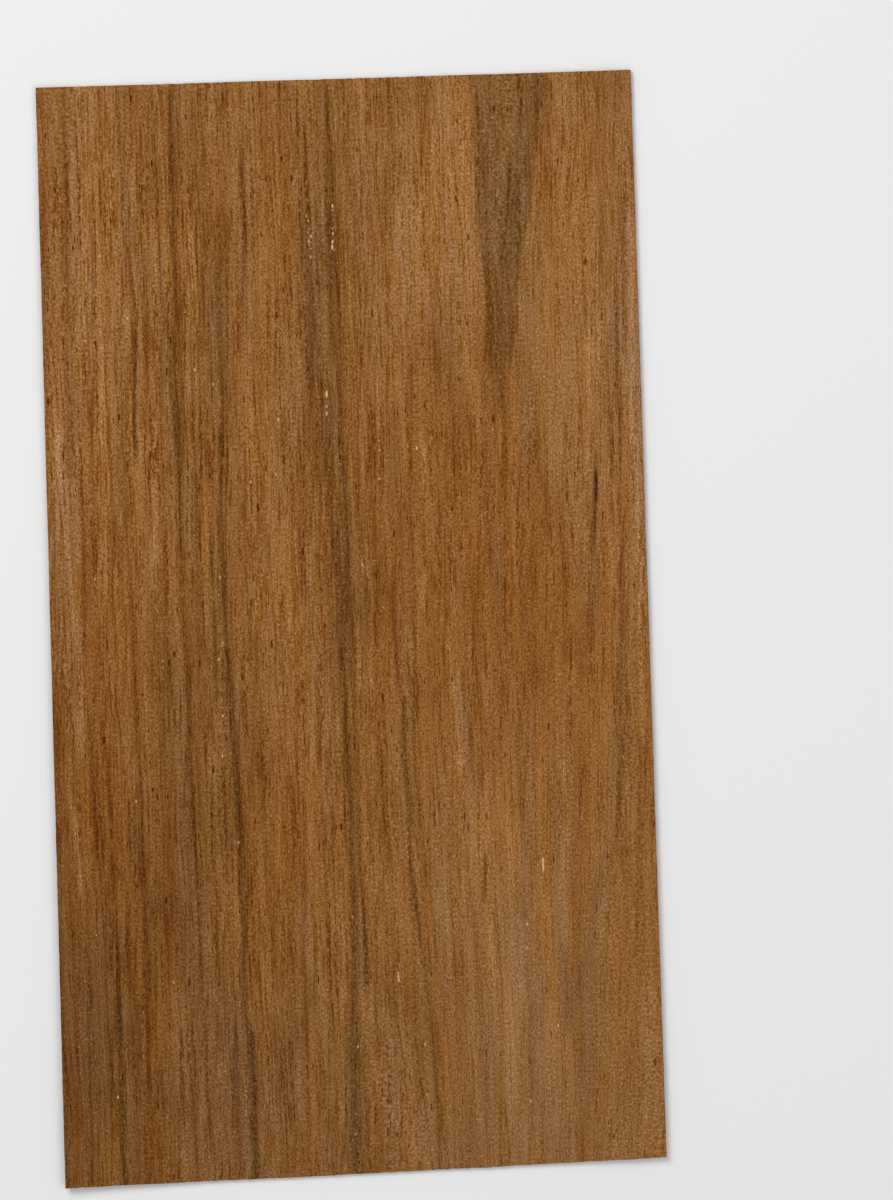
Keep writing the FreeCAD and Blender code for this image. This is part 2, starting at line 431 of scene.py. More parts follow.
@dataclass(frozen=True)
class Figure:
    """Everything that colours this one leaf above the scale of its fibres, in millimetres.

    A wash's tone in vigour is how much more strongly fibres and pores show there, and in glints it is how
    thickly the glints stand in that row.
    """

    flow: GrainFlow = GrainFlow()
    wedge: Wedge = Wedge()
    washes: tuple[Wash, ...] = (
        # Darker at the lower left: partly the wood's tone, partly painted shade where the light falls off
        Wash(-54, -92, 24, 40, tone=-0.15),
        Wash(-37, -26, 12, 62, tone=-0.10),
        Wash(-46, -50, 9, 18, tone=-0.06, tint=Tint.RUST, tint_weight=0.3),
        Wash(-28, -92, 9, 34, tone=0.03, tint=Tint.GREY, tint_weight=0.4),
        Wash(-27, -44, 7, 22, tone=-0.07),
        Wash(-57, 50, 7, 42, tone=0.12),
        Wash(-46, 66, 7, 30, tone=0.06),
        Wash(-45, 32, 6, 16, tone=0.05),
        Wash(-24, 36, 6, 30, tone=0.04),
        Wash(-15, 45, 7, 60, tone=-0.02, tint=Tint.RUST, tint_weight=0.4),
        Wash(-15, 10, 6, 26, tone=0.06),
        Wash(-10, -14, 8, 22, tone=0.05),
        Wash(-16, -88, 8, 24, tone=-0.05),
        Wash(-28, 20, 9, 60, tone=-0.03, tint=Tint.GREY, tint_weight=0.15),
        Wash(-6, 55, 4, 45, tone=-0.08, tint=Tint.GREY, tint_weight=0.35),
        Wash(4, -72, 8, 48, tone=-0.06),
        Wash(-1, -54, 10, 14, tone=0.06),
        Wash(4, 38, 6, 13, tone=0.04),
        Wash(8, 18, 7, 30, tone=-0.02, tint=Tint.RUST, tint_weight=0.5),
        Wash(15, 58, 6, 10, tone=-0.04),
        Wash(17, 16, 7, 40, tone=0.01, tint=Tint.RUST, tint_weight=0.3),
        Wash(30, 2, 17, 44, tone=-0.01, tint=Tint.RUST, tint_weight=0.35, slant=-0.8),
        Wash(27, 16, 6, 30, tone=0.0, tint=Tint.RUST, tint_weight=0.3),
        Wash(44, -8, 10, 36, tone=-0.01, tint=Tint.RUST, tint_weight=0.5, slant=-0.5),
        Wash(35, 40, 6, 26, tone=0.07),
        Wash(18, -42, 11, 14, tone=0.04),
        Wash(25, -42, 7, 18, tone=0.04),
        Wash(-50, 8, 7, 36, tone=-0.03, tint=Tint.RUST, tint_weight=0.7),
        Wash(-12, -42, 8, 16, tone=-0.02, tint=Tint.RUST, tint_weight=0.4),
        Wash(-13.5, -44, 2.2, 7, tone=-0.01, tint=Tint.RUST, tint_weight=0.8),
        Wash(48, 72, 12, 34, tone=0.20),
        Wash(56, 26, 6, 24, tone=0.10),
        Wash(57, -70, 6, 26, tone=-0.04),
        Wash(19, 78, 8, 20, tone=0.20),
        Wash(26, -72, 13, 36, tone=0.06, tint=Tint.GREY, tint_weight=0.15),
        Wash(58, 60, 3.2, 40, tone=0.03, tint=Tint.GREY, tint_weight=0.75),
        Wash(0, -100, 46, 26, tone=-0.01, tint=Tint.GREY, tint_weight=0.35),
        Wash(44, -85, 16, 40, tone=0.0, tint=Tint.GREY, tint_weight=0.25),
    )
    streaks: tuple[Streak, ...] = (
        Streak(((-1.4, 110), (-1.3, 84), (-1.7, 70), (-1.9, 54)), 0.50, 0.64, Stain.MINERAL),
        Streak(((-1.6, 81), (-1.5, 73)), 0.70, 0.36, Stain.MINERAL, fade=3.0, broken=0.1),
        Streak(((-1.9, 54), (-3.2, 38), (-3.4, 22)), 0.50, 0.30, Stain.SHADE),
        Streak(
            ((-2.6, 46), (-2.4, 24), (-1.9, 12), (-1.4, 2), (-1.6, -6)),
            2.30, 0.38, Stain.SHADE, fade=16.0,
        ),
        Streak(((-0.5, 46), (-0.3, 26), (-0.3, 12), (-0.5, 0)), 0.45, 0.34, Stain.MINERAL),
        Streak(((-2.1, 18), (-1.7, 10), (-1.2, 2), (-1.7, -6)), 0.65, 0.42, Stain.MINERAL),
        Streak(
            ((-1.7, -4), (-1.2, -25), (-0.7, -36), (-0.8, -44), (-0.6, -56)),
            0.75, 0.48, Stain.MINERAL, broken=0.2,
        ),
        Streak(((-0.6, -50), (-0.9, -62), (-1.3, -74), (-1.3, -86)), 0.85, 0.50, Stain.MINERAL, broken=0.2),
        Streak(((-1.3, -84), (-2.0, -95), (-1.7, -103), (-2.2, -112)), 0.80, 0.62, Stain.MINERAL, broken=0.2),
        Streak(((-1.0, -78), (-1.6, -112)), 1.90, 0.14, Stain.SHADE, fade=14.0),
        Streak(
            ((0.1, 86), (-0.3, 66), (-0.5, 44), (-0.1, 30), (0.1, -10)),
            0.40, 0.62, Stain.HEART, broken=0.5,
        ),
        Streak(((0.4, 6), (0.5, -20), (0.6, -40)), 0.50, 0.40, Stain.MINERAL),
        Streak(((0.7, -38), (0.6, -46), (1.1, -60), (1.2, -72)), 0.45, 0.66, Stain.MINERAL),
        Streak(((-32.8, 110), (-32.8, 82), (-32.8, 74), (-33.0, 66)), 0.46, 0.68, Stain.MINERAL, broken=0.3),
        Streak(((-32.8, 68), (-33.3, 58), (-32.9, 50), (-32.8, 40)), 0.75, 0.42, Stain.MINERAL, broken=0.5),
        Streak(((-32.9, 44), (-33.1, 30), (-33.1, 16)), 0.48, 0.58, Stain.MINERAL, broken=0.2),
        Streak(((-34.2, 56), (-34.0, 44), (-34.0, 32)), 0.50, 0.46, Stain.MINERAL),
        Streak(((-33.1, 18), (-33.0, 0), (-32.5, -14)), 0.60, 0.56, Stain.HEART),
        Streak(
            ((-32.6, -8), (-32.7, -24), (-32.3, -40), (-31.7, -54), (-31.9, -68)),
            0.48, 0.44, Stain.MINERAL, broken=0.2,
        ),
        Streak(((-31.9, -64), (-31.6, -84)), 0.50, 0.32, Stain.MINERAL),
        Streak(((-31.3, -84), (-31.0, -104)), 0.42, 0.72, Stain.HEART),
        Streak(((-34.0, -86), (-33.8, -110)), 0.45, 0.48, Stain.HEART),
        Streak(((-35.2, -52), (-34.8, -72)), 0.90, 0.22, Stain.SHADE),
        Streak(
            ((-24.7, 40), (-24.9, 28), (-24.8, 12), (-24.8, 4), (-24.2, -8)),
            0.42, 0.50, Stain.MINERAL, broken=0.2,
        ),
        Streak(
            ((-24.2, -6), (-23.8, -20), (-23.2, -38), (-22.8, -46), (-22.7, -58)),
            0.50, 0.44, Stain.MINERAL, broken=0.2,
        ),
        Streak(((-23.5, -29), (-23.0, -43)), 0.38, 0.30, Stain.MINERAL, fade=4.0, broken=0.2),
        Streak(
            ((-22.9, -56), (-23.3, -68), (-23.2, -75), (-22.3, -82)),
            0.52, 0.50, Stain.MINERAL, broken=0.2,
        ),
        Streak(((-22.4, -80), (-22.0, -92), (-21.8, -112)), 0.76, 0.70, Stain.MINERAL, broken=0.2),
        Streak(((-24.4, 74), (-24.2, 54), (-24.0, 46), (-24.7, 36)), 0.50, 0.50, Stain.MINERAL),
        Streak(((-25.4, -78), (-25.1, -96), (-25.0, -112)), 0.42, 0.70, Stain.HEART),
        Streak(((-26.2, -26), (-25.8, -45)), 0.42, 0.60, Stain.HEART, fade=4.0),
        Streak(((-24.4, 84), (-24.2, 60)), 1.30, 0.12, Stain.SHADE, fade=10.0),
        Streak(((-26.9, 82), (-27.1, 56)), 0.38, 0.26, Stain.HEART),
        Streak(((-27.3, 38), (-27.2, 29)), 0.40, 0.80, Stain.HEART, fade=4.0),
        Streak(((-27.1, 22), (-27.0, 10)), 0.38, 0.50, Stain.HEART),
        Streak(((-27.1, 4), (-26.9, -14)), 0.40, 0.66, Stain.MINERAL),
        Streak(((-22.0, 84), (-22.6, 64), (-23.1, 42)), 0.40, 0.42, Stain.MINERAL, broken=0.6),
        Streak(((-18.4, 98), (-18.6, 80), (-19.0, 72), (-19.6, 66), (-20.3, 56)), 0.40, 0.60, Stain.HEART),
        Streak(
            ((-35.6, 84), (-35.6, 62), (-36.2, 44), (-36.8, 16), (-36.3, -12)),
            0.42, 0.38, Stain.HEART, broken=0.5,
        ),
        Streak(((-38.9, 80), (-38.5, 64), (-38.8, 53)), 0.42, 0.54, Stain.HEART),
        Streak(((-38.8, -54), (-38.3, -68)), 0.40, 0.58, Stain.HEART),
        Streak(((-37.3, -92), (-37.4, -110)), 0.38, 0.66, Stain.HEART),
        Streak(((-41.6, 92), (-41.6, 68)), 0.40, 0.48, Stain.HEART),
        Streak(((-41.2, 72), (-41.5, 54)), 0.38, 0.40, Stain.HEART),
        Streak(((-41.3, 60), (-41.5, 50), (-41.7, 35)), 0.40, 1.0, Stain.MINERAL, fade=4.0, broken=0.4),
        Streak(((-44.1, 64), (-44.1, 40), (-43.8, 12), (-43.3, -12)), 0.40, 0.50, Stain.HEART, broken=0.6),
        Streak(((-43.3, -10), (-42.7, -26), (-42.6, -38)), 0.40, 0.34, Stain.HEART),
        Streak(((-43.2, -40), (-43.0, -48), (-42.6, -60)), 0.58, 0.60, Stain.HEART, broken=0.2),
        Streak(((-42.8, -58), (-42.9, -70), (-42.8, -94)), 0.42, 0.68, Stain.HEART),
        Streak(((-46.8, 68), (-46.9, 46), (-46.7, 14)), 0.40, 0.40, Stain.HEART),
        Streak(((-49.0, 88), (-49.1, 72), (-49.8, 50), (-50.4, 37), (-50.6, 18)), 0.42, 0.52, Stain.HEART),
        Streak(((-48.9, -22), (-48.6, -44), (-48.2, -66)), 0.48, 0.62, Stain.HEART),
        Streak(((-48.2, -62), (-48.3, -78), (-48.2, -112)), 0.50, 0.76, Stain.MINERAL),
        Streak(((-52.7, -14), (-52.4, -26), (-51.9, -36), (-52.0, -46)), 0.50, 0.84, Stain.HEART),
        Streak(((-54.1, 110), (-54.1, 84), (-54.4, 62)), 0.50, 0.64, Stain.HEART),
        Streak(((-54.9, 60), (-54.9, 44), (-54.8, 30)), 0.45, 0.64, Stain.HEART),
        Streak(((-53.0, 34), (-52.7, 22), (-52.9, 12), (-53.2, -4)), 0.46, 0.76, Stain.HEART),
        Streak(((-54.2, -50), (-54.1, -60), (-54.6, -84), (-54.6, -112)), 0.42, 0.58, Stain.HEART),
        Streak(
            ((-58.0, -18), (-57.8, -33), (-57.2, -46), (-57.1, -68), (-57.0, -86)),
            0.42, 0.22, Stain.HEART,
        ),
        Streak(((-58.4, 90), (-58.4, 72)), 0.45, 0.50, Stain.HEART),
        Streak(((-59.1, 86), (-59.1, 60), (-59.3, 30)), 0.45, 0.50, Stain.HEART),
        # Painted shadow: a dark line just inside the left edge, along its lower half
        Streak(((-59.6, -8), (-59.8, -50), (-59.9, -112)), 0.80, 0.42, Stain.MINERAL, fade=26.0),
        Streak(((-59.9, 84), (-60.0, 30)), 0.42, 0.40, Stain.MINERAL, fade=14.0),
        Streak(((-5.9, 64), (-6.1, 48)), 0.50, 0.42, Stain.HEART),
        Streak(((-6.8, -8), (-6.6, -30), (-6.4, -54), (-6.6, -92)), 0.38, 0.34, Stain.HEART, broken=0.6),
        Streak(((-9.2, 26), (-9.4, 12), (-9.3, 4)), 0.40, 0.44, Stain.HEART),
        Streak(((-10.6, 84), (-10.8, 74), (-10.4, 66)), 0.50, 0.30, Stain.HEART),
        Streak(((-10.0, -34), (-10.6, -50), (-11.0, -64), (-11.2, -82)), 0.42, 0.60, Stain.HEART),
        Streak(((2.9, 62), (2.8, 46), (2.7, 24)), 0.38, 0.48, Stain.HEART),
        Streak(((5.7, -14), (5.9, -30), (6.4, -50), (7.1, -76)), 0.40, 0.18, Stain.HEART, broken=0.6),
        Streak(((9.1, 12), (8.7, 1), (9.5, -12)), 0.48, 0.80, Stain.HEART),
        Streak(((10.2, -14), (10.3, -28), (10.8, -38), (10.9, -48), (11.8, -58)), 0.45, 0.68, Stain.MINERAL),
        Streak(((11.8, -54), (12.8, -66), (13.7, -76), (14.4, -90), (14.8, -110)), 0.55, 0.36, Stain.MINERAL),
        Streak(((13.7, 54), (13.5, 40), (12.8, 30), (12.9, 18)), 0.46, 0.56, Stain.HEART),
        Streak(((12.9, 20), (13.1, 8), (13.0, -12)), 0.44, 0.56, Stain.HEART, broken=0.6),
        Streak(((25.0, 43), (25.4, 31)), 0.46, 0.44, Stain.HEART),
        Streak(((28.2, 30), (27.8, 20), (28.2, 12)), 0.50, 0.44, Stain.HEART),
        Streak(((29.6, 76), (30.0, 62), (29.8, 50), (30.3, 41)), 0.90, 0.22, Stain.MINERAL),
        Streak(((35.5, 88), (35.9, 70)), 0.60, 0.24, Stain.MINERAL),
        Streak(((34.2, 63), (33.8, 53)), 0.60, 0.32, Stain.MINERAL, fade=4.0),
        Streak(((32.3, 52), (31.9, 42), (31.5, 30)), 0.50, 0.38, Stain.HEART),
        Streak(((25.5, -46), (25.4, -55)), 0.42, 0.66, Stain.MINERAL, fade=4.0, broken=0.1),
        Streak(((40.1, 31), (40.0, 18)), 0.42, 0.40, Stain.HEART),
        Streak(((50.3, 34), (49.9, 26), (49.4, 15)), 0.42, 0.38, Stain.GUM, fade=6.0, broken=0.2),
        Streak(((50.2, 30), (50.0, 24)), 0.44, 0.80, Stain.GUM, fade=2.5, broken=0.0),
        Streak(((52.5, 86), (52.4, 69)), 0.44, 0.58, Stain.HEART),
        Streak(((55.5, 66), (55.0, 50), (55.3, 40)), 0.52, 0.84, Stain.HEART),
        Streak(((55.4, 42), (54.9, 22), (54.5, 8), (54.3, -4)), 0.52, 0.64, Stain.HEART),
        Streak(((57.2, 82), (57.1, 64), (56.9, 50)), 0.45, 0.26, Stain.MINERAL),
        Streak(((56.8, 26), (55.9, 8), (55.5, -6)), 0.40, 0.36, Stain.HEART),
        Streak(((53.9, -4), (53.5, -20), (52.8, -32), (52.0, -42), (49.9, -51)), 0.50, 0.30, Stain.MINERAL),
        Streak(((57.2, -30), (56.2, -48), (55.0, -68)), 0.42, 0.58, Stain.HEART),
        Streak(((49.4, -48), (46.4, -60), (44.4, -70), (41.0, -80)), 1.20, 0.24, Stain.SHADE, fade=10.0),
        Streak(((44.1, -68), (44.3, -92)), 0.80, 0.10, Stain.SHADE),
        Streak(((40.8, -64), (41.3, -81)), 1.20, 0.46, Stain.SHADE),
        Streak(
            ((-56.9, 42), (-56.6, 26), (-55.4, 12), (-54.8, 4), (-54.2, -8), (-54.1, -24)),
            0.80, 0.80, Stain.ASH,
        ),
        Streak(((-57.1, -14), (-56.7, -30), (-56.0, -38), (-55.3, -52)), 0.65, 0.95, Stain.ASH),
        Streak(((58.4, 82), (58.4, 66), (57.9, 52), (57.8, 32)), 0.50, 0.90, Stain.ASH),
        Streak(((58.4, 40), (58.3, 20), (57.9, -10), (58.0, -24)), 0.45, 0.66, Stain.PALE),
        Streak(((-51.2, 86), (-50.8, 63)), 0.95, 0.20, Stain.PALE),
        Streak(((-48.2, 84), (-48.1, 68), (-47.9, 28)), 0.45, 0.28, Stain.PALE, broken=0.5),
        Streak(((-46.9, -32), (-46.0, -44), (-46.6, -58)), 0.50, 0.42, Stain.PALE),
        Streak(((-44.5, 12), (-44.2, -18), (-44.2, -30)), 0.42, 0.40, Stain.PALE),
        Streak(((-43.8, -50), (-43.9, -66), (-43.9, -98)), 0.42, 0.56, Stain.PALE),
        Streak(
            ((-39.7, 84), (-40.1, 60), (-40.5, 44), (-41.0, 14), (-41.0, -24)),
            0.45, 0.34, Stain.PALE, broken=0.5,
        ),
        Streak(
            ((-36.5, 84), (-36.9, 66), (-37.2, 45), (-38.0, 33), (-38.5, 8)),
            0.48, 0.76, Stain.PALE, broken=0.5,
        ),
        Streak(((-34.6, 84), (-34.8, 62), (-35.2, 38), (-34.6, 22), (-34.7, -10)), 0.45, 0.26, Stain.PALE),
        Streak(
            ((-29.2, 84), (-28.5, 52), (-28.4, 18), (-28.7, -10), (-28.7, -36)),
            0.80, 0.56, Stain.PALE, broken=0.5,
        ),
        Streak(((-17.6, 76), (-18.4, 50), (-18.5, 16), (-18.2, 0)), 0.45, 0.44, Stain.PALE, broken=0.5),
        Streak(((-15.2, -37), (-15.0, -57)), 0.50, 0.22, Stain.PALE),
        Streak(((-7.4, 6), (-7.6, -4), (-8.2, -24), (-9.2, -58)), 0.45, 0.40, Stain.PALE, broken=0.5),
        Streak(
            ((-3.1, -16), (-2.8, -48), (-3.6, -70), (-4.3, -88), (-5.0, -106)),
            0.45, 0.38, Stain.PALE, broken=0.5,
        ),
        Streak(((1.9, 66), (1.7, 44), (1.1, 27), (1.4, 10), (1.7, -12)), 0.42, 0.46, Stain.PALE, broken=0.5),
        Streak(((4.4, 64), (3.6, 34), (3.8, 8)), 0.42, 0.50, Stain.PALE, broken=0.5),
        Streak(((7.4, 72), (7.1, 62), (7.0, 36)), 0.42, 0.36, Stain.PALE),
        Streak(((15.4, 38), (16.2, 24), (15.7, 16), (14.9, 4)), 0.75, 0.58, Stain.PALE),
        Streak(((18.6, 4), (20.0, -8), (21.2, -16), (21.5, -30)), 0.75, 0.52, Stain.PALE),
        Streak(((22.4, 64), (25.2, 52), (27.2, 38)), 1.10, 0.30, Stain.PALE),
        Streak(((23.8, -32), (23.3, -52)), 0.80, 0.44, Stain.PALE),
        Streak(((26.7, -51), (26.5, -67)), 0.60, 0.16, Stain.PALE),
        Streak(((33.6, 30), (33.3, 8), (33.6, -10)), 0.48, 0.44, Stain.PALE),
        Streak(((49.2, 58), (48.9, 42), (48.1, 24), (47.4, 13)), 0.48, 0.64, Stain.PALE),
        Streak(((-40.6, 96), (-39.6, 66)), 1.30, 0.34, Stain.PALE, fade=12.0),
        Streak(((19.2, 100), (18.8, 64)), 2.40, 0.34, Stain.PALE, fade=12.0),
        Streak(((-47.2, 28), (-46.8, -10)), 1.40, 0.26, Stain.PALE, fade=14.0),
        Streak(((-31.0, 42), (-30.8, 14)), 1.20, 0.24, Stain.PALE, fade=10.0),
        Streak(((3.2, -82), (3.6, -106)), 1.60, 0.22, Stain.PALE, fade=10.0),
        Streak(((45.6, -42), (44.8, -63)), 1.80, 0.22, Stain.PALE, fade=10.0),
        Streak(((5.6, -2), (5.2, -26)), 1.40, 0.20, Stain.PALE, fade=10.0),
        Streak(((-54.6, 2), (-52.8, -25)), 1.40, 0.30, Stain.SHADE, fade=10.0),
        Streak(((-3.4, -80), (-3.8, -106)), 1.50, 0.20, Stain.SHADE, fade=10.0),
        Streak(((-21.2, 50), (-20.8, 25)), 1.50, 0.22, Stain.SHADE, fade=10.0),
        Streak(((47.4, 67), (47.0, 47)), 1.60, 0.18, Stain.SHADE, fade=10.0),
        Streak(((52.6, 36), (51.6, 18), (50.4, -8)), 1.50, 0.26, Stain.PALE, fade=10.0),
        Streak(((24.4, 36), (24.8, 16), (25.6, -4)), 1.60, 0.20, Stain.PALE, fade=12.0),
        Streak(((28.4, 58), (28.8, 30), (29.5, -6)), 1.90, 0.24, Stain.HEART, fade=14.0),
        Streak(((41.8, 28), (42.6, 10), (44.0, -8)), 1.90, 0.30, Stain.HEART, fade=12.0),
        Streak(((9.4, 92), (9.0, 58)), 1.50, 0.18, Stain.SHADE, fade=14.0),
        Streak(((51.2, 84), (50.8, 56)), 1.70, 0.18, Stain.SHADE, fade=12.0),
        Streak(((-53.2, -62), (-53.0, -112)), 2.10, 0.32, Stain.SHADE, fade=16.0),
    )
    # Bright flecks: partly pale specks of the wood, partly painted highlights
    flecks: tuple[Fleck, ...] = (
        Fleck(-3.2, 47.1, half_length=0.75, strength=1.0),
        Fleck(-3.3, 43.2, half_length=0.45, strength=0.7),
        Fleck(-1.2, 76.4, half_length=0.55, strength=1.0),
        Fleck(-1.0, 79.1, strength=0.6),
        Fleck(-0.9, 84.6, half_length=0.40, strength=0.8),
        Fleck(-6.2, 82.8, strength=0.6),
        Fleck(-5.6, 74.6, strength=0.6),
        Fleck(-5.4, 78.7, strength=0.75),
        Fleck(37.2, -47.3, half_length=0.50, strength=0.9),
        Fleck(37.2, -49.2, half_length=0.40, strength=0.6),
        Fleck(-29.4, 52.7, strength=0.85),
        Fleck(14.5, 35.7, half_length=0.40, strength=0.8),
        Fleck(7.7, -70.4, half_length=0.45, strength=0.8),
        Fleck(7.6, -69.1, strength=0.6),
        Fleck(-26.2, -24.6, strength=0.75),
        Fleck(-25.9, -16.6, strength=0.75),
        Fleck(-26.3, -5.3, strength=0.6),
        Fleck(-25.5, -2.0, strength=0.5),
        Fleck(33.7, -60.0, strength=0.75),
        Fleck(33.5, -64.7, strength=0.5),
        Fleck(-13.0, 42.3, strength=0.7),
        Fleck(-18.9, 30.0, strength=0.7),
        Fleck(-49.1, -92.1, strength=0.7),
        Fleck(2.9, 12.8, half_length=0.45, strength=0.6),
        Fleck(6.8, 29.9, strength=0.6),
        Fleck(7.0, 35.5, strength=0.6),
        Fleck(-50.6, 11.5, strength=0.6),
        Fleck(-0.9, -83.5, strength=0.6),
        Fleck(-47.6, 76.0, strength=0.6),
        Fleck(-13.8, 31.4, strength=0.6),
        Fleck(-42.6, 63.4, strength=0.6),
        Fleck(-25.8, 49.7, strength=0.55),
        Fleck(33.3, -95.4, strength=0.55),
        Fleck(12.6, -93.5, strength=0.5),
        Fleck(12.5, -83.4, strength=0.5),
        Fleck(-37.3, -69.5, strength=0.55),
        Fleck(-43.7, -33.2, strength=0.55),
        Fleck(39.2, -80.5, half_length=0.40, strength=0.5),
        Fleck(-25.6, 11.1, strength=0.5),
        Fleck(21.0, -27.3, strength=0.5),
        Fleck(-23.5, -42.0, strength=0.5),
        Fleck(3.9, -10.4, strength=0.5),
    )
    # Rows of pale glints: partly pale specks of the wood, partly painted highlights
    glints: tuple[Wash, ...] = (
        Wash(-1.1, 81, 0.32, 7.0, tone=1.0),
        Wash(-5.9, 79, 0.32, 6.0, tone=1.0),
        Wash(-30.0, 43, 0.30, 6.0, tone=0.8),
        Wash(6.8, 35, 0.32, 6.0, tone=1.0),
        Wash(10.2, -42, 0.32, 5.0, tone=1.0),
        Wash(3.2, 15, 0.30, 4.5, tone=1.0),
        Wash(1.2, 26, 0.30, 4.5, tone=0.8),
        Wash(9.4, -24, 0.30, 4.5, tone=0.8),
        Wash(8.2, -8, 0.30, 4.5, tone=0.8),
        Wash(14.7, 11, 0.30, 3.5, tone=1.0),
        Wash(-26.2, 6, 0.30, 5.0, tone=0.9),
        Wash(-25.8, -14, 0.30, 5.0, tone=0.8),
        Wash(-23.6, -94, 0.32, 5.0, tone=0.9),
        Wash(-24.0, -48, 0.32, 5.0, tone=0.8),
        Wash(-22.0, -104, 0.32, 4.0, tone=0.9),
        Wash(-13.2, 40, 0.30, 4.5, tone=0.7),
        Wash(-37.4, -4, 0.30, 5.0, tone=0.8),
        Wash(-52.4, -62, 0.30, 5.0, tone=0.8),
        Wash(-1.2, -62, 0.32, 6.0, tone=0.9),
        Wash(-1.8, -98, 0.32, 6.0, tone=0.9),
        Wash(54.0, -24, 0.30, 5.0, tone=0.8),
        Wash(33.7, -58, 0.30, 6.0, tone=0.7),
    )
    vigour: tuple[Wash, ...] = (
        Wash(-46, 50, 28, 62, tone=0.18),
        Wash(42, -80, 34, 54, tone=-0.54),
        Wash(38, 54, 20, 32, tone=-0.34),
        Wash(22, 4, 30, 24, tone=0.14),
    )
    drift_tone: float = 0.06
    drift: Ripple = Ripple(seed=21, across=6.0, along=70.0)
    first_seed: int = 100
    seeds_apart: int = 5
    trace: float = 1e-9

    def tone(self, x: np.ndarray, y: np.ndarray) -> np.ndarray:
        """How light the wood is at each point, before its fibres and pores.

        Args:
            x: The points' X, in millimetres.
            y: The points' Y, in millimetres.

        Returns:
            Tones about 0, where the whole range of walnut is 1.
        """
        tone = self.drift_tone * self.drift.at(self.flow.across(x, y), y)
        for wash in self.washes:
            tone += wash.tone * wash.weight(x, y)
        return tone

    def tint(self, x: np.ndarray, y: np.ndarray) -> np.ndarray:
        """How far the wood leans to rust and to grey at each point.

        Args:
            x: The points' X, in millimetres.
            y: The points' Y, in millimetres.

        Returns:
            An array with one row of two weights, from 0 to 1, for each point.
        """
        weights = np.zeros((len(x), 2))
        for wash in self.washes:
            weights += np.outer(wash.weight(x, y) * wash.tint_weight, wash.tint.value)
        return np.clip(weights, 0.0, 1.0)

    def stains(self, x: np.ndarray, y: np.ndarray) -> tuple[np.ndarray, np.ndarray]:
        """Lays all the streaks and the dark tongue over each other.

        A trace of shade lies everywhere, so that the factors are numbers also where there is no mark.

        Args:
            x: The points' X, in millimetres.
            y: The points' Y, in millimetres.

        Returns:
            How much stain there is at each point, from 0 to 1, and its three factors, one row for each point.
        """
        marks = []
        for number, streak in enumerate(self.streaks):
            seed = self.first_seed + self.seeds_apart * number
            marks.append((streak.weight(x, y, seed), streak.stain))
        marks.append((self.wedge.weight(x, y), self.wedge.stain))
        clear = np.ones_like(x)
        amount = np.full_like(x, self.trace)
        colour = np.outer(amount, Stain.SHADE.value)
        for weight, stain in marks:
            clear *= 1.0 - np.clip(weight, 0.0, 1.0)
            amount += weight
            colour += np.outer(weight, stain.value)
        return 1.0 - clear, colour / amount[:, None]

    def fleck(self, x: np.ndarray, y: np.ndarray) -> np.ndarray:
        """Where points lie from the nearest bright fleck, which is partly a painted highlight.

        Args:
            x: The points' X, in millimetres.
            y: The points' Y, in millimetres.

        Returns:
            An array with one row for each point, as Fleck.offset gives it, or zeros away from every fleck.
        """
        nearest = np.zeros((len(x), 3))
        for fleck in self.flecks:
            offset = fleck.offset(x, y)
            closer = offset[:, 2] > nearest[:, 2]
            nearest[closer] = offset[closer]
        return nearest

    def glint(self, x: np.ndarray, y: np.ndarray) -> np.ndarray:
        """How thickly small pale glints, partly painted highlights, stand in rows at each point.

        Args:
            x: The points' X, in millimetres.
            y: The points' Y, in millimetres.

        Returns:
            Shares from 0, between the rows, to 1.
        """
        thick = np.zeros_like(x)
        for row in self.glints:
            thick = np.maximum(thick, row.tone * row.weight(x, y))
        return thick

    def liveliness(self, x: np.ndarray, y: np.ndarray) -> np.ndarray:
        """How strongly fibres and pores show at each point.

        Args:
            x: The points' X, in millimetres.
            y: The points' Y, in millimetres.

        Returns:
            Strengths about 1.
        """
        lively = np.ones_like(x)
        for wash in self.vigour:
            lively += wash.tone * wash.weight(x, y)
        return lively


@dataclass(frozen=True)
class PoreCuts:
    """The larger pores, which the knife has opened as short grooves along the grain of the show face.

    Lengths are in millimetres, and a groove's depth is a share of the deepest. They crowd into bands: common
    is how many of the tries open a pore on the whole, and crowding is how much that changes.
    """

    seed: int = 5
    tries: int = 9000
    shortest: float = 1.5
    longest: float = 9.0
    shallowest: float = 0.35
    common: float = 0.5
    crowding: float = 0.75
    bands: Ripple = Ripple(seed=31, across=2.4, along=60.0)

    def cut(self, x: np.ndarray, y: np.ndarray, flow: GrainFlow) -> np.ndarray:
        """Opens the pores on a grid of points.

        Args:
            x: X of the grid's points in millimetres, in rows from the foot to the head.
            y: Y of the grid's points in millimetres, laid out alike.
            flow: The leaf's grain, which crowds the pores into bands.

        Returns:
            How deep the pores are cut at each point of the grid, from 0 to 1.
        """
        draw = np.random.RandomState(self.seed)
        rows, columns = x.shape
        row_pitch = (y[-1, 0] - y[0, 0]) / (rows - 1)
        crowd = self.bands.at(flow.across(x, y), y)
        depth = np.zeros((rows, columns))
        for _ in range(self.tries):
            row = draw.randint(0, rows)
            column = draw.randint(1, columns - 1)
            length = draw.uniform(self.shortest, self.longest)
            strength = draw.uniform(self.shallowest, 1.0)
            chance = draw.uniform(0.0, 1.0)
            if chance > self.common + self.crowding * crowd[row, column]:
                continue
            reach = max(1, round(length / row_pitch / 2))
            low, high = max(1, row - reach), min(rows - 1, row + reach + 1)
            ends = 1.0 - ((np.arange(low, high) - row) / (reach + 0.5)) ** 2
            depth[low:high, column] = np.maximum(depth[low:high, column], strength * ends)
        return depth


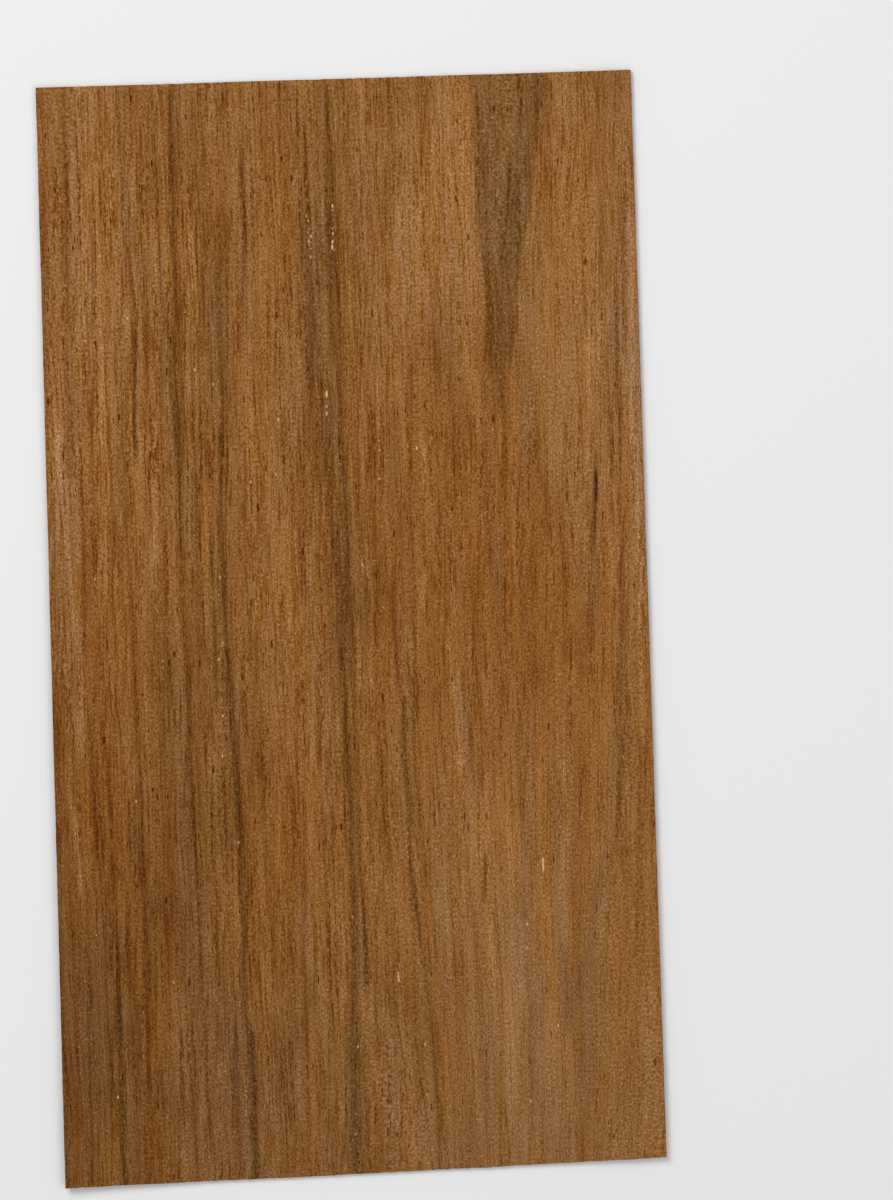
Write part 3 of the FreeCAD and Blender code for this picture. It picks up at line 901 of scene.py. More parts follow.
@dataclass(frozen=True)
class Noise:
    """Noise drawn out along the fibres: its hills to a millimetre, its finer octaves and its strength."""

    across_per_mm: float
    along_per_mm: float
    gain: float = 1.0
    detail: float = 1.0
    roughness: float = 0.55


@dataclass(frozen=True)
class Scatter:
    """Spots drawn out along the fibres and scattered through the grain space, such as pores or pale glints.

    There is one place for a spot in each cell. Its radius, in cells, lies between the smallest and the
    largest, and where that is below zero the place stays empty. The weight is how strongly the spots colour
    the wood, and sunk is how far they lie below the fibres.
    """

    across_per_mm: float
    along_per_mm: float
    smallest: float
    largest: float
    softness: float
    weight: float = 1.0
    sunk: float = 0.0


class NodeBench:
    """Adds and joins the nodes of one material."""

    least_radius: float = 0.001

    def __init__(self, name: str) -> None:
        """Starts an empty material.

        Args:
            name: The material's name.
        """
        self.material = bpy.data.materials.new(name)
        self.material.use_nodes = True
        self.tree = self.material.node_tree
        self.tree.nodes.clear()

    def add(self, kind: str, **settings: object) -> bpy.types.Node:
        """Adds one node.

        Args:
            kind: The node's type, such as ShaderNodeMath.
            settings: Values for the node's own properties.

        Returns:
            The node.
        """
        node = self.tree.nodes.new(kind)
        for key, value in settings.items():
            setattr(node, key, value)
        return node

    def feed(self, socket: bpy.types.NodeSocket, value: object) -> None:
        """Joins an output to an input, or writes a plain value on the input.

        Args:
            socket: The input.
            value: Another node's output, or a number or colour.
        """
        if isinstance(value, bpy.types.NodeSocket):
            self.tree.links.new(value, socket)
        else:
            socket.default_value = value

    def math(self, operation: str, *values: object) -> bpy.types.NodeSocket:
        """One sum on plain numbers.

        Args:
            operation: The Math node's operation.
            values: Its inputs, each a socket or a number.

        Returns:
            The result's socket.
        """
        node = self.add("ShaderNodeMath", operation=operation)
        for socket, value in zip(node.inputs, values):
            self.feed(socket, value)
        return node.outputs["Value"]

    def attribute(self, name: str, output: str) -> bpy.types.NodeSocket:
        """Reads one attribute of the mesh from its node's output of that name."""
        return self.add("ShaderNodeAttribute", attribute_name=name).outputs[output]

    def scaled(self, coordinates: bpy.types.NodeSocket, across: float, along: float) -> bpy.types.NodeSocket:
        """Grain space stretched along the fibres.

        Args:
            coordinates: The grain space.
            across: Pattern units per millimetre across the fibres and through the leaf.
            along: Pattern units per millimetre along the fibres.

        Returns:
            The stretched coordinates' socket.
        """
        node = self.add("ShaderNodeVectorMath", operation="MULTIPLY")
        self.feed(node.inputs[0], coordinates)
        node.inputs[1].default_value = (across, along, across)
        return node.outputs["Vector"]

    def noise(self, coordinates: bpy.types.NodeSocket, noise: Noise) -> bpy.types.NodeSocket:
        """Noise drawn out along the fibres.

        Args:
            coordinates: The grain space.
            noise: The noise's hills and finer octaves.

        Returns:
            The noise's socket, from 0 to 1 and about 0.5, before its gain.
        """
        node = self.add("ShaderNodeTexNoise")
        stretched = self.scaled(coordinates, noise.across_per_mm, noise.along_per_mm)
        self.feed(node.inputs["Vector"], stretched)
        node.inputs["Scale"].default_value = 1.0
        node.inputs["Detail"].default_value = noise.detail
        node.inputs["Roughness"].default_value = noise.roughness
        return node.outputs["Fac"]

    def about_zero(self, noise: bpy.types.NodeSocket, gain: float) -> bpy.types.NodeSocket:
        """Noise about 0.5 turned into noise about 0, times a gain."""
        return self.math("MULTIPLY_ADD", noise, gain, -gain / 2)

    def total(self, *parts: bpy.types.NodeSocket) -> bpy.types.NodeSocket:
        """Adds several sockets up.

        Args:
            parts: The sockets.

        Returns:
            The sum's socket.
        """
        result = parts[0]
        for part in parts[1:]:
            result = self.math("ADD", result, part)
        return result

    def spots(self, coordinates: bpy.types.NodeSocket, scatter: Scatter) -> bpy.types.NodeSocket:
        """Scattered spots drawn out along the fibres.

        Args:
            coordinates: The grain space.
            scatter: How the spots are spread and how large they are.

        Returns:
            A socket that is 1 inside a spot and 0 between the spots, before the scatter's weight.
        """
        cells = self.add("ShaderNodeTexVoronoi", feature="F1")
        stretched = self.scaled(coordinates, scatter.across_per_mm, scatter.along_per_mm)
        self.feed(cells.inputs["Vector"], stretched)
        cells.inputs["Scale"].default_value = 1.0
        split = self.add("ShaderNodeSeparateColor")
        self.feed(split.inputs["Color"], cells.outputs["Color"])
        spread = scatter.largest - scatter.smallest
        radius = self.math("MULTIPLY_ADD", split.outputs["Red"], spread, scatter.smallest)
        radius = self.math("MAXIMUM", radius, self.least_radius)
        ratio = self.math("DIVIDE", cells.outputs["Distance"], radius)
        outside = self.step(ratio, 1.0 - scatter.softness, 1.0)
        return self.math("SUBTRACT", 1.0, outside)

    def step(self, value: bpy.types.NodeSocket, low: float, high: float) -> bpy.types.NodeSocket:
        """A smooth step.

        Args:
            value: The value that is stepped.
            low: Where the step leaves 0.
            high: Where it reaches 1.

        Returns:
            The step's socket, from 0 to 1.
        """
        node = self.add("ShaderNodeMapRange", interpolation_type="SMOOTHSTEP")
        self.feed(node.inputs["Value"], value)
        node.inputs["From Min"].default_value = low
        node.inputs["From Max"].default_value = high
        return node.outputs["Result"]

    def ramp(self, factor: bpy.types.NodeSocket, stops: tuple) -> bpy.types.NodeSocket:
        """Colours by tone.

        Args:
            factor: The tone, from 0 to 1.
            stops: Pairs of tone and linear colour, in rising order.

        Returns:
            The colour's socket.
        """
        node = self.add("ShaderNodeValToRGB")
        elements = node.color_ramp.elements
        while len(elements) < len(stops):
            elements.new(0.5)
        for element, (position, colour) in zip(elements, stops):
            element.position = position
            element.color = (*colour, 1.0)
        self.feed(node.inputs["Fac"], factor)
        return node.outputs["Color"]

    def strengthened(
        self, colour: bpy.types.NodeSocket, factors: object, share: bpy.types.NodeSocket
    ) -> bpy.types.NodeSocket:
        """Multiplies a colour by factors raised to a share, so that two half shares make a whole one.

        Args:
            colour: The colour.
            factors: What a whole share multiplies red, green and blue by, a socket or three numbers.
            share: The share, which may be negative.

        Returns:
            The multiplied colour's socket.
        """
        if isinstance(factors, bpy.types.NodeSocket):
            split = self.add("ShaderNodeSeparateColor")
            self.feed(split.inputs["Color"], factors)
            factors = tuple(split.outputs)
        powers = self.add("ShaderNodeCombineColor")
        for channel, factor in zip(powers.inputs, factors):
            self.feed(channel, self.math("POWER", factor, share))
        product = self.add("ShaderNodeVectorMath", operation="MULTIPLY")
        self.feed(product.inputs[0], colour)
        self.feed(product.inputs[1], powers.outputs["Color"])
        return product.outputs["Vector"]

    def blend(
        self, kind: str, factor: bpy.types.NodeSocket, under: bpy.types.NodeSocket, over: object
    ) -> bpy.types.NodeSocket:
        """Lays one colour over another.

        Args:
            kind: The Mix node's blend type.
            factor: How much of the upper colour shows.
            under: The lower colour.
            over: The upper colour, a socket or a linear colour.

        Returns:
            The mixed colour's socket.
        """
        node = self.add("ShaderNodeMix", data_type="RGBA", blend_type=kind, clamp_factor=True)
        self.feed(node.inputs["Factor"], factor)
        self.feed(node.inputs["A"], under)
        self.feed(node.inputs["B"], over if isinstance(over, bpy.types.NodeSocket) else (*over, 1.0))
        return node.outputs["Result"]


@dataclass(frozen=True)
class WalnutFinish:
    """Bare sliced walnut: fibres, pores and partly painted glints over the figure that the mesh carries.

    The tones are its browns, from the darkest to the palest. Rust, grey, the pore shade and the end shade are
    what a full lean, a pore or a cut edge multiplies linear red, green and blue by. The fine step is what one
    unit of fine lightness multiplies them by, and the fine lean is how much more the dark side of it counts.
    """

    name: str = "sliced_walnut"
    tones: tuple = (
        (0.00, linear(68, 34, 10)),
        (0.16, linear(92, 52, 18)),
        (0.30, linear(111, 69, 27)),
        (0.50, linear(136, 90, 42)),
        (0.70, linear(157, 110, 61)),
        (0.85, linear(173, 127, 80)),
        (1.00, linear(194, 149, 105)),
    )
    rust: tuple[float, float, float] = (1.06, 0.93, 0.68)
    grey: tuple[float, float, float] = (0.90, 1.03, 1.60)
    pore_shade: tuple[float, float, float] = (0.33, 0.16, 0.02)
    fine_step: tuple[float, float, float] = (6.1, 12.9, 160.0)
    fine_lean: float = -0.6
    # Painted highlights mixed into the colour: the flecks and glints, partly pale specks of the wood
    fleck_and_painted_highlight_colour: tuple[float, float, float] = linear(238, 200, 164)
    speck_and_painted_glint_colour: tuple[float, float, float] = linear(226, 182, 122)
    end_shade: tuple[float, float, float] = (0.72, 0.68, 0.64)
    middle_tone: float = 0.575
    wander: Noise = Noise(0.16, 0.035, gain=2.4)
    blotch: Noise = Noise(0.13, 0.045, gain=0.22)
    band: Noise = Noise(0.42, 0.014, gain=0.31)
    hue_drift: Noise = Noise(0.22, 0.02, gain=1.6)
    fibre: Noise = Noise(1.8, 0.07, gain=0.44, detail=2.0, roughness=0.66)
    fibre_lift: float = 0.035
    patch: Noise = Noise(1.4, 0.34, gain=0.25, detail=2.0)
    grit: Noise = Noise(2.8, 1.9, gain=0.92, roughness=0.6)
    break_up: Noise = Noise(2.6, 1.1, gain=3.8, detail=2.0, roughness=0.65)
    pores: tuple[Scatter, ...] = (
        Scatter(1.2, 0.28, smallest=-1.7, largest=0.28, softness=0.3, weight=1.0, sunk=1.0),
        Scatter(1.8, 0.30, smallest=-0.10, largest=0.24, softness=0.35, weight=0.66, sunk=0.9),
        Scatter(3.0, 1.0, smallest=-0.10, largest=0.34, softness=0.45, weight=0.40, sunk=0.5),
    )
    cut_pore_weight: float = 0.35
    vessel_rows: Noise = Noise(1.8, 0.04, detail=0.0)
    row_limits: tuple[float, float] = (0.57, 0.68)
    vessel_dashes: Noise = Noise(2.6, 0.60)
    dash_limits: tuple[float, float] = (0.46, 0.56)
    vessel_weight: float = 0.40
    vessels_sunk: float = 0.7
    # Pale glints, strewn and in rows: partly pale specks of the wood, partly painted highlights
    glints: Scatter = Scatter(1.7, 1.3, smallest=-1.2, largest=0.27, softness=0.5, weight=0.45)
    row_glints: Scatter = Scatter(1.8, 1.1, smallest=0.0, largest=0.42, softness=0.5)
    fleck_limits: tuple[float, float] = (0.35, 1.5)
    fibre_relief: float = 0.6
    grit_relief: float = 0.6
    relief: float = 0.05 * MM
    relief_strength: float = 0.8
    roughness: float = 0.75
    fibre_sheen: float = 0.3
    gloss: float = 0.08

    def build(self) -> bpy.types.Material:
        """Makes the material.

        Returns:
            The finished material.
        """
        bench = NodeBench(self.name)
        fibres = self.bent_grain(bench)
        fibre = bench.noise(fibres, self.fibre)
        grit = bench.noise(fibres, self.grit)
        vigour = bench.attribute("vigour", "Fac")
        pores = [bench.spots(fibres, scatter) for scatter in self.pores]
        vessels = self.vessels(bench, fibres)

        colour = self.browns(bench, fibres)
        colour = bench.strengthened(colour, self.fine_step, self.fine(bench, fibres, fibre, grit, vigour))
        colour = self.stained(bench, fibres, colour)
        weighted = [bench.math("MULTIPLY", pore, scatter.weight) for pore, scatter in zip(pores, self.pores)]
        dark = bench.total(
            bench.math("MULTIPLY", vessels, self.vessel_weight),
            *weighted,
            bench.math("MULTIPLY", bench.attribute("pore", "Fac"), self.cut_pore_weight),
        )
        dark = bench.math("MULTIPLY", bench.math("MINIMUM", dark, 1.0), vigour)
        colour = bench.strengthened(colour, self.pore_shade, dark)
        # Painted highlights: glints and bright flecks, partly pale specks of the wood, mixed into the colour
        colour = bench.blend("MIX", self.glinting(bench, fibres), colour, self.speck_and_painted_glint_colour)
        colour = bench.blend("MIX", self.bright(bench), colour, self.fleck_and_painted_highlight_colour)
        colour = bench.blend("MULTIPLY", bench.attribute("cut", "Fac"), colour, self.end_shade)

        shader = bench.add("ShaderNodeBsdfPrincipled")
        bench.feed(shader.inputs["Base Color"], colour)
        sheen_spread = bench.about_zero(fibre, -self.fibre_sheen)
        bench.feed(shader.inputs["Roughness"], bench.math("ADD", sheen_spread, self.roughness))
        shader.inputs["Specular IOR Level"].default_value = self.gloss
        height = bench.total(
            bench.about_zero(fibre, self.fibre_relief),
            bench.about_zero(grit, self.grit_relief),
            *[bench.math("MULTIPLY", pore, -scatter.sunk) for pore, scatter in zip(pores, self.pores)],
            bench.math("MULTIPLY", vessels, -self.vessels_sunk),
        )
        bump = bench.add("ShaderNodeBump")
        bump.inputs["Strength"].default_value = self.relief_strength
        bump.inputs["Distance"].default_value = self.relief
        bench.feed(bump.inputs["Height"], height)
        bench.feed(shader.inputs["Normal"], bump.outputs["Normal"])
        output = bench.add("ShaderNodeOutputMaterial")
        bench.feed(output.inputs["Surface"], shader.outputs["BSDF"])
        return bench.material

    def bent_grain(self, bench: NodeBench) -> bpy.types.NodeSocket:
        """Bends the mesh's grain space, so that no fibre is quite straight.

        Args:
            bench: The material's bench.

        Returns:
            The bent grain space's socket.
        """
        grain = bench.attribute("grain", "Vector")
        shift = bench.add("ShaderNodeCombineXYZ")
        wander = bench.noise(grain, self.wander)
        bench.feed(shift.inputs["X"], bench.about_zero(wander, self.wander.gain))
        bent = bench.add("ShaderNodeVectorMath", operation="ADD")
        bench.feed(bent.inputs[0], grain)
        bench.feed(bent.inputs[1], shift.outputs["Vector"])
        return bent.outputs["Vector"]

    def browns(self, bench: NodeBench, fibres: bpy.types.NodeSocket) -> bpy.types.NodeSocket:
        """The wood's brown, before its fibres, stains and pores.

        Args:
            bench: The material's bench.
            fibres: The grain space.

        Returns:
            The colour's socket.
        """
        tone = bench.total(
            bench.math("ADD", bench.attribute("tone", "Fac"), self.middle_tone),
            bench.about_zero(bench.noise(fibres, self.blotch), self.blotch.gain),
            bench.about_zero(bench.noise(fibres, self.band), self.band.gain),
        )
        return self.tinted(bench, fibres, bench.ramp(tone, self.tones))

    def tinted(
        self, bench: NodeBench, fibres: bpy.types.NodeSocket, colour: bpy.types.NodeSocket
    ) -> bpy.types.NodeSocket:
        """Leans the brown towards rust or grey, as the figure says and with a little drift of its own.

        Args:
            bench: The material's bench.
            fibres: The grain space.
            colour: The plain brown.

        Returns:
            The tinted colour's socket.
        """
        drift = bench.about_zero(bench.noise(fibres, self.hue_drift), self.hue_drift.gain)
        redder = bench.math("ADD", bench.attribute("rust", "Fac"), drift)
        greyer = bench.math("SUBTRACT", bench.attribute("grey", "Fac"), drift)
        colour = bench.blend("MULTIPLY", redder, colour, self.rust)
        return bench.blend("MULTIPLY", greyer, colour, self.grey)

    def fine(
        self,
        bench: NodeBench,
        fibres: bpy.types.NodeSocket,
        fibre: bpy.types.NodeSocket,
        grit: bpy.types.NodeSocket,
        vigour: bpy.types.NodeSocket,
    ) -> bpy.types.NodeSocket:
        """The fine light and dark of fibres and grit.

        Args:
            bench: The material's bench.
            fibres: The grain space.
            fibre: The noise of the fibres.
            grit: The noise of the grit.
            vigour: How strongly fibres show.

        Returns:
            A socket about 0, in steps of fine lightness.
        """
        lines = bench.total(
            bench.math("MINIMUM", bench.about_zero(fibre, self.fibre.gain), self.fibre_lift),
            bench.about_zero(bench.noise(fibres, self.patch), self.patch.gain),
        )
        speckle = bench.about_zero(grit, self.grit.gain)
        fine = bench.math("ADD", speckle, bench.math("MULTIPLY", lines, vigour))
        return bench.math("MULTIPLY_ADD", fine, bench.math("MULTIPLY", fine, self.fine_lean), fine)

    def stained(
        self, bench: NodeBench, fibres: bpy.types.NodeSocket, colour: bpy.types.NodeSocket
    ) -> bpy.types.NodeSocket:
        """Lays the figure's streaks and dark tongue on the wood, broken up by its fibres.

        Args:
            bench: The material's bench.
            fibres: The grain space.
            colour: The colour under them.

        Returns:
            The stained colour's socket.
        """
        break_up = bench.about_zero(bench.noise(fibres, self.break_up), self.break_up.gain)
        uneven = bench.math("ADD", break_up, 1.0)
        share = bench.math("MULTIPLY", bench.attribute("stain_share", "Fac"), uneven)
        return bench.strengthened(colour, bench.attribute("stain_factors", "Color"), share)

    def vessels(self, bench: NodeBench, fibres: bpy.types.NodeSocket) -> bpy.types.NodeSocket:
        """Short dark dashes that stand in rows along the fibres, where the knife has grazed a vessel.

        Args:
            bench: The material's bench.
            fibres: The grain space.

        Returns:
            A socket that is 1 in a dash and 0 between the dashes.
        """
        rows = bench.step(bench.noise(fibres, self.vessel_rows), *self.row_limits)
        dashes = bench.step(bench.noise(fibres, self.vessel_dashes), *self.dash_limits)
        return bench.math("MULTIPLY", rows, dashes)

    def glinting(self, bench: NodeBench, fibres: bpy.types.NodeSocket) -> bpy.types.NodeSocket:
        """Small pale glints, partly painted highlights: a few all over the leaf, more in the figure's rows.

        Args:
            bench: The material's bench.
            fibres: The grain space.

        Returns:
            A socket that is above 0 in a glint and 0 between the glints.
        """
        strewn = bench.math("MULTIPLY", bench.spots(fibres, self.glints), self.glints.weight)
        row_weight = bench.attribute("glint", "Fac")
        in_rows = bench.math("MULTIPLY", bench.spots(fibres, self.row_glints), row_weight)
        return bench.math("MAXIMUM", strewn, in_rows)

    def bright(self, bench: NodeBench) -> bpy.types.NodeSocket:
        """Draws the bright flecks, partly painted highlights, each from its own middle.

        Args:
            bench: The material's bench.

        Returns:
            A socket that is the fleck's strength inside a fleck and 0 elsewhere.
        """
        offset = bench.add("ShaderNodeSeparateXYZ")
        bench.feed(offset.inputs["Vector"], bench.attribute("fleck", "Vector"))
        across, along = offset.outputs["X"], offset.outputs["Y"]
        across_squared = bench.math("MULTIPLY", across, across)
        along_squared = bench.math("MULTIPLY", along, along)
        outside = bench.step(bench.math("ADD", across_squared, along_squared), *self.fleck_limits)
        return bench.math("MULTIPLY", bench.math("SUBTRACT", 1.0, outside), offset.outputs["Z"])


@dataclass(frozen=True)
class VeneerLeaf:
    """The leaf itself: one closed mesh with its cut edges, relief and figure.

    The cells of the ripples are in millimetres along the face. Through the leaf they are shares of its
    thickness.
    """

    shape: LeafShape = LeafShape()
    figure: Figure = Figure()
    pores: PoreCuts = PoreCuts()
    finish: WalnutFinish = WalnutFinish()
    columns: int = 440
    rows: int = 166
    wall_levels: tuple[float, ...] = (0.93, 0.5, 0.07)
    arris: float = 0.035 * MM
    pore_depth: float = 0.07 * MM
    furrow: float = 0.012 * MM
    fine_furrows: Ripple = Ripple(seed=41, across=0.55, along=13.0)
    broad_furrows: Ripple = Ripple(seed=42, across=1.7, along=34.0)
    buckle: float = 0.020 * MM
    buckles: Ripple = Ripple(seed=43, across=12.0, along=48.0)
    check_depth: float = 0.05 * MM
    checks: Ripple = Ripple(seed=44, across=1.3, along=22.0)
    check_limit: float = 0.35
    side_fray: float = 0.035 * MM
    side_tears: Ripple = Ripple(seed=51, across=1.2, along=1 / 3)
    long_side_tears: Ripple = Ripple(seed=52, across=9.0, along=2.0)
    end_fray: float = 0.10 * MM
    end_tears: Ripple = Ripple(seed=53, across=0.5, along=1 / 3)
    wide_end_tears: Ripple = Ripple(seed=54, across=4.5, along=2.5)
    wide_tear_weight: float = 1.2
    tear_share: float = 0.6
    breakouts: Ripple = Ripple(seed=55, across=0.9)
    breakout_limit: float = 0.55
    breakout_share: float = 1.6
    corner_spur: float = 0.15 * MM
    spur_width: float = 0.06
    depth_slant: float = 0.5
    broad_face_limit: float = 0.7

    def blank(self) -> bmesh.types.BMesh:
        """Makes the square blank: X and Y run from -1 to 1 and Z is the level in the wood, from 0 to 1.

        Returns:
            A closed mesh with a fine show face, walls in several levels and a coarser underside.
        """
        bm = bmesh.new()
        raised = Matrix.Translation((0, 0, 1))
        bmesh.ops.create_grid(bm, x_segments=self.columns, y_segments=self.rows, size=1.0, matrix=raised)
        rim = [edge for edge in bm.edges if edge.is_boundary]
        for level in self.wall_levels:
            grown = bmesh.ops.extrude_edge_only(bm, edges=rim)["geom"]
            for item in grown:
                if isinstance(item, bmesh.types.BMVert):
                    item.co.z = level
            rim = [item for item in grown if isinstance(item, bmesh.types.BMEdge) and item.is_boundary]
        bmesh.ops.create_grid(bm, x_segments=self.columns // 2, y_segments=self.rows // 2, size=1.0)
        lower_rim = [edge for edge in bm.edges if edge.is_boundary and edge.verts[0].co.z == 0.0]
        bmesh.ops.bridge_loops(bm, edges=rim + lower_rim)
        bmesh.ops.recalc_face_normals(bm, faces=bm.faces[:])
        return bm

    def build(self) -> bpy.types.Object:
        """Makes the finished leaf.

        Returns:
            The leaf's object, riding on its body.
        """
        blank = self.blank()
        mesh = bpy.data.meshes.new("veneer_leaf")
        blank.to_mesh(mesh)
        blank.free()
        unit = np.empty(len(mesh.vertices) * 3, np.float32)
        mesh.vertices.foreach_get("co", unit)
        across, along, level = unit.reshape(-1, 3).astype(float).T
        x, y = self.shape.place(across, along)
        pore = self.open_pores(across, along, level, x, y)
        self.shape_faces(mesh, across, along, level, x, y, pore)
        self.lay_figure(mesh, level, x, y, pore)
        mesh.polygons.foreach_set("use_smooth", self.soft_faces(mesh))
        mesh.materials.append(self.finish.build())
        mesh.update()
        leaf = bpy.data.objects.new("veneer_leaf", mesh)
        bpy.context.scene.collection.objects.link(leaf)
        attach(leaf, SHEET_BODY)
        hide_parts(SHEET_NODE)
        return leaf

    def open_pores(
        self, across: np.ndarray, along: np.ndarray, level: np.ndarray, x: np.ndarray, y: np.ndarray
    ) -> np.ndarray:
        """Finds how deep the pores are cut at every vertex.

        Args:
            across: The vertices' place across the blank.
            along: Their place along it.
            level: Their level in the wood.
            x: Their X on the leaf.
            y: Their Y on the leaf.

        Returns:
            Depths from 0 to 1, which are 0 away from the show face.
        """
        show = level > 1.0 - FACE_SLACK
        column = np.rint((across[show] + 1) / 2 * self.columns).astype(int)
        row = np.rint((along[show] + 1) / 2 * self.rows).astype(int)
        grid_x = np.zeros((self.rows + 1, self.columns + 1))
        grid_y = np.zeros_like(grid_x)
        grid_x[row, column] = x[show] / MM
        grid_y[row, column] = y[show] / MM
        pore = np.zeros_like(x)
        pore[show] = self.pores.cut(grid_x, grid_y, self.figure.flow)[row, column]
        return pore

    def shape_faces(
        self,
        mesh: bpy.types.Mesh,
        across: np.ndarray,
        along: np.ndarray,
        level: np.ndarray,
        x: np.ndarray,
        y: np.ndarray,
        pore: np.ndarray,
    ) -> None:
        """Moves every vertex of the blank to its place on the leaf, with relief and cut edges.

        Args:
            mesh: The mesh, still a blank.
            across: The vertices' place across the blank.
            along: Their place along it.
            level: Their level in the wood.
            x: Their X on the plain leaf.
            y: Their Y on the plain leaf.
            pore: How deep the pores are cut at them, from 0 to 1.
        """
        grain_x = self.figure.flow.across(x / MM, y / MM)
        grain_y = y / MM
        show = level > 1.0 - FACE_SLACK
        underside = level < FACE_SLACK
        at_side = np.abs(across) > 1.0 - RIM_SLACK
        at_end = np.abs(along) > 1.0 - RIM_SLACK
        at_foot = along < -1.0 + RIM_SLACK
        rim = at_side | at_end

        furrows = self.fine_furrows.at(grain_x, grain_y) + self.broad_furrows.at(grain_x, grain_y)
        buckles = self.buckles.at(grain_x, grain_y) * ~rim
        checks = np.clip(self.checks.at(grain_x, grain_y) - self.check_limit, 0.0, 1.0)
        z = self.shape.height(x, y, level)
        z += show * (self.furrow * furrows + self.buckle * buckles - self.pore_depth * pore)
        z += (underside & ~rim) * self.check_depth * checks
        z -= (show & rim) * self.arris
        z += (underside & rim) * self.arris

        eased = self.arris * (show | underside)
        torn = self.side_tears.at(grain_y, level) + self.long_side_tears.at(grain_y, level)
        x = x + at_side * np.sign(across) * (self.side_fray * torn - eased)
        wide = self.wide_tear_weight * self.wide_end_tears.at(grain_x, level)
        torn = self.end_tears.at(grain_x, level) + wide
        breakout = np.clip(self.breakouts.on_line(grain_x) - self.breakout_limit, 0.0, 1.0)
        ragged = self.end_fray * (self.tear_share * torn - self.breakout_share * breakout)
        y = y + at_end * np.sign(along) * (ragged - eased)
        spur = np.exp(-((across + 1.0) / self.spur_width))
        y = y + at_foot * self.corner_spur * (1.0 - spur)
        x = np.clip(x, CAD_BOUNDS[0].x, CAD_BOUNDS[1].x)
        y = np.clip(y, CAD_BOUNDS[0].y, CAD_BOUNDS[1].y)
        placed = np.stack([x, y, z], axis=1).astype(np.float32)
        mesh.vertices.foreach_set("co", placed.ravel())

    def lay_figure(
        self, mesh: bpy.types.Mesh, level: np.ndarray, x: np.ndarray, y: np.ndarray, pore: np.ndarray
    ) -> None:
        """Writes the attributes that the finish reads.

        Args:
            mesh: The leaf's mesh.
            level: The vertices' level in the wood.
            x: Their X on the plain leaf.
            y: Their Y on the plain leaf.
            pore: How deep the pores are cut at them, from 0 to 1.
        """
        depth = (1.0 - level) * self.shape.thickness / MM
        lined_x = x / MM + self.depth_slant * depth
        lined_y = y / MM
        grain = np.stack([self.figure.flow.across(lined_x, lined_y), lined_y, -depth], axis=1)
        show = level > 1.0 - FACE_SLACK
        inside = (level > FACE_SLACK) & ~show
        self.write(mesh, "grain", "FLOAT_VECTOR", grain)
        self.write(mesh, "tone", "FLOAT", self.figure.tone(lined_x, lined_y))
        rust, grey = self.figure.tint(lined_x, lined_y).T
        self.write(mesh, "rust", "FLOAT", rust)
        self.write(mesh, "grey", "FLOAT", grey)
        share, factors = self.figure.stains(lined_x, lined_y)
        self.write(mesh, "stain_share", "FLOAT", share)
        self.write(mesh, "stain_factors", "FLOAT_VECTOR", factors)
        # The flecks and glint rows are partly painted highlights
        self.write(mesh, "fleck", "FLOAT_VECTOR", self.figure.fleck(lined_x, lined_y) * show[:, None])
        self.write(mesh, "glint", "FLOAT", self.figure.glint(lined_x, lined_y) * show)
        self.write(mesh, "vigour", "FLOAT", self.figure.liveliness(lined_x, lined_y))
        self.write(mesh, "pore", "FLOAT", pore)
        self.write(mesh, "cut", "FLOAT", inside.astype(float))

    @staticmethod
    def write(mesh: bpy.types.Mesh, name: str, kind: str, values: np.ndarray) -> None:
        """Stores one value or vector for each vertex.

        Args:
            mesh: The mesh to store it on.
            name: The attribute's name.
            kind: The attribute's data type.
            values: One number or one row for each vertex.
        """
        attribute = mesh.attributes.new(name, kind, "POINT")
        field = "vector" if kind == "FLOAT_VECTOR" else "value"
        attribute.data.foreach_set(field, values.astype(np.float32).ravel())

    def soft_faces(self, mesh: bpy.types.Mesh) -> np.ndarray:
        """Marks the faces that are shaded smooth: the broad ones, which look up or down, but not the walls.

        Args:
            mesh: The leaf's mesh.

        Returns:
            One true or false for each face.
        """
        normals = np.empty(len(mesh.polygons) * 3, np.float32)
        mesh.polygons.foreach_get("normal", normals)
        return np.abs(normals.reshape(-1, 3)[:, 2]) > self.broad_face_limit


@dataclass(frozen=True)
class PaperFinish:
    """The plain pale matt floor."""

    name: str = "pale_floor"
    colour: tuple[float, float, float] = (0.87, 0.87, 0.87)
    roughness: float = 0.9
    gloss: float = 0.0

    def build(self) -> bpy.types.Material:
        """Makes the material.

        Returns:
            The finished material.
        """
        bench = NodeBench(self.name)
        shader = bench.add("ShaderNodeBsdfPrincipled")
        shader.inputs["Base Color"].default_value = (*self.colour, 1.0)
        shader.inputs["Roughness"].default_value = self.roughness
        shader.inputs["Specular IOR Level"].default_value = self.gloss
        output = bench.add("ShaderNodeOutputMaterial")
        bench.feed(output.inputs["Surface"], shader.outputs["BSDF"])
        return bench.material


@dataclass(frozen=True)
class Softbox:
    """A square soft lamp that faces the leaf.

    The share is the part of full daylight that it lays on a level surface: shares that add up to 1, with the
    sky's, show a matt colour as it is written.
    """

    name: str
    azimuth: float
    elevation: float
    distance: float
    size: float
    share: float

    def build(self, target: Vector) -> bpy.types.Object:
        """Hangs the lamp.

        Args:
            target: The point that it faces.

        Returns:
            The lamp's object.
        """
        turn, rise = math.radians(self.azimuth), math.radians(self.elevation)
        toward = Vector((math.sin(turn) * math.cos(rise), math.cos(turn) * math.cos(rise), math.sin(rise)))
        lamp = bpy.data.lights.new(self.name, "AREA")
        lamp.size = self.size
        lamp.energy = self.share * math.pi**2 * self.distance**2 / math.sin(rise)
        hung = bpy.data.objects.new(self.name, lamp)
        hung.location = target + toward * self.distance
        hung.rotation_euler = toward.to_track_quat("Z", "Y").to_euler()
        bpy.context.scene.collection.objects.link(hung)
        return hung


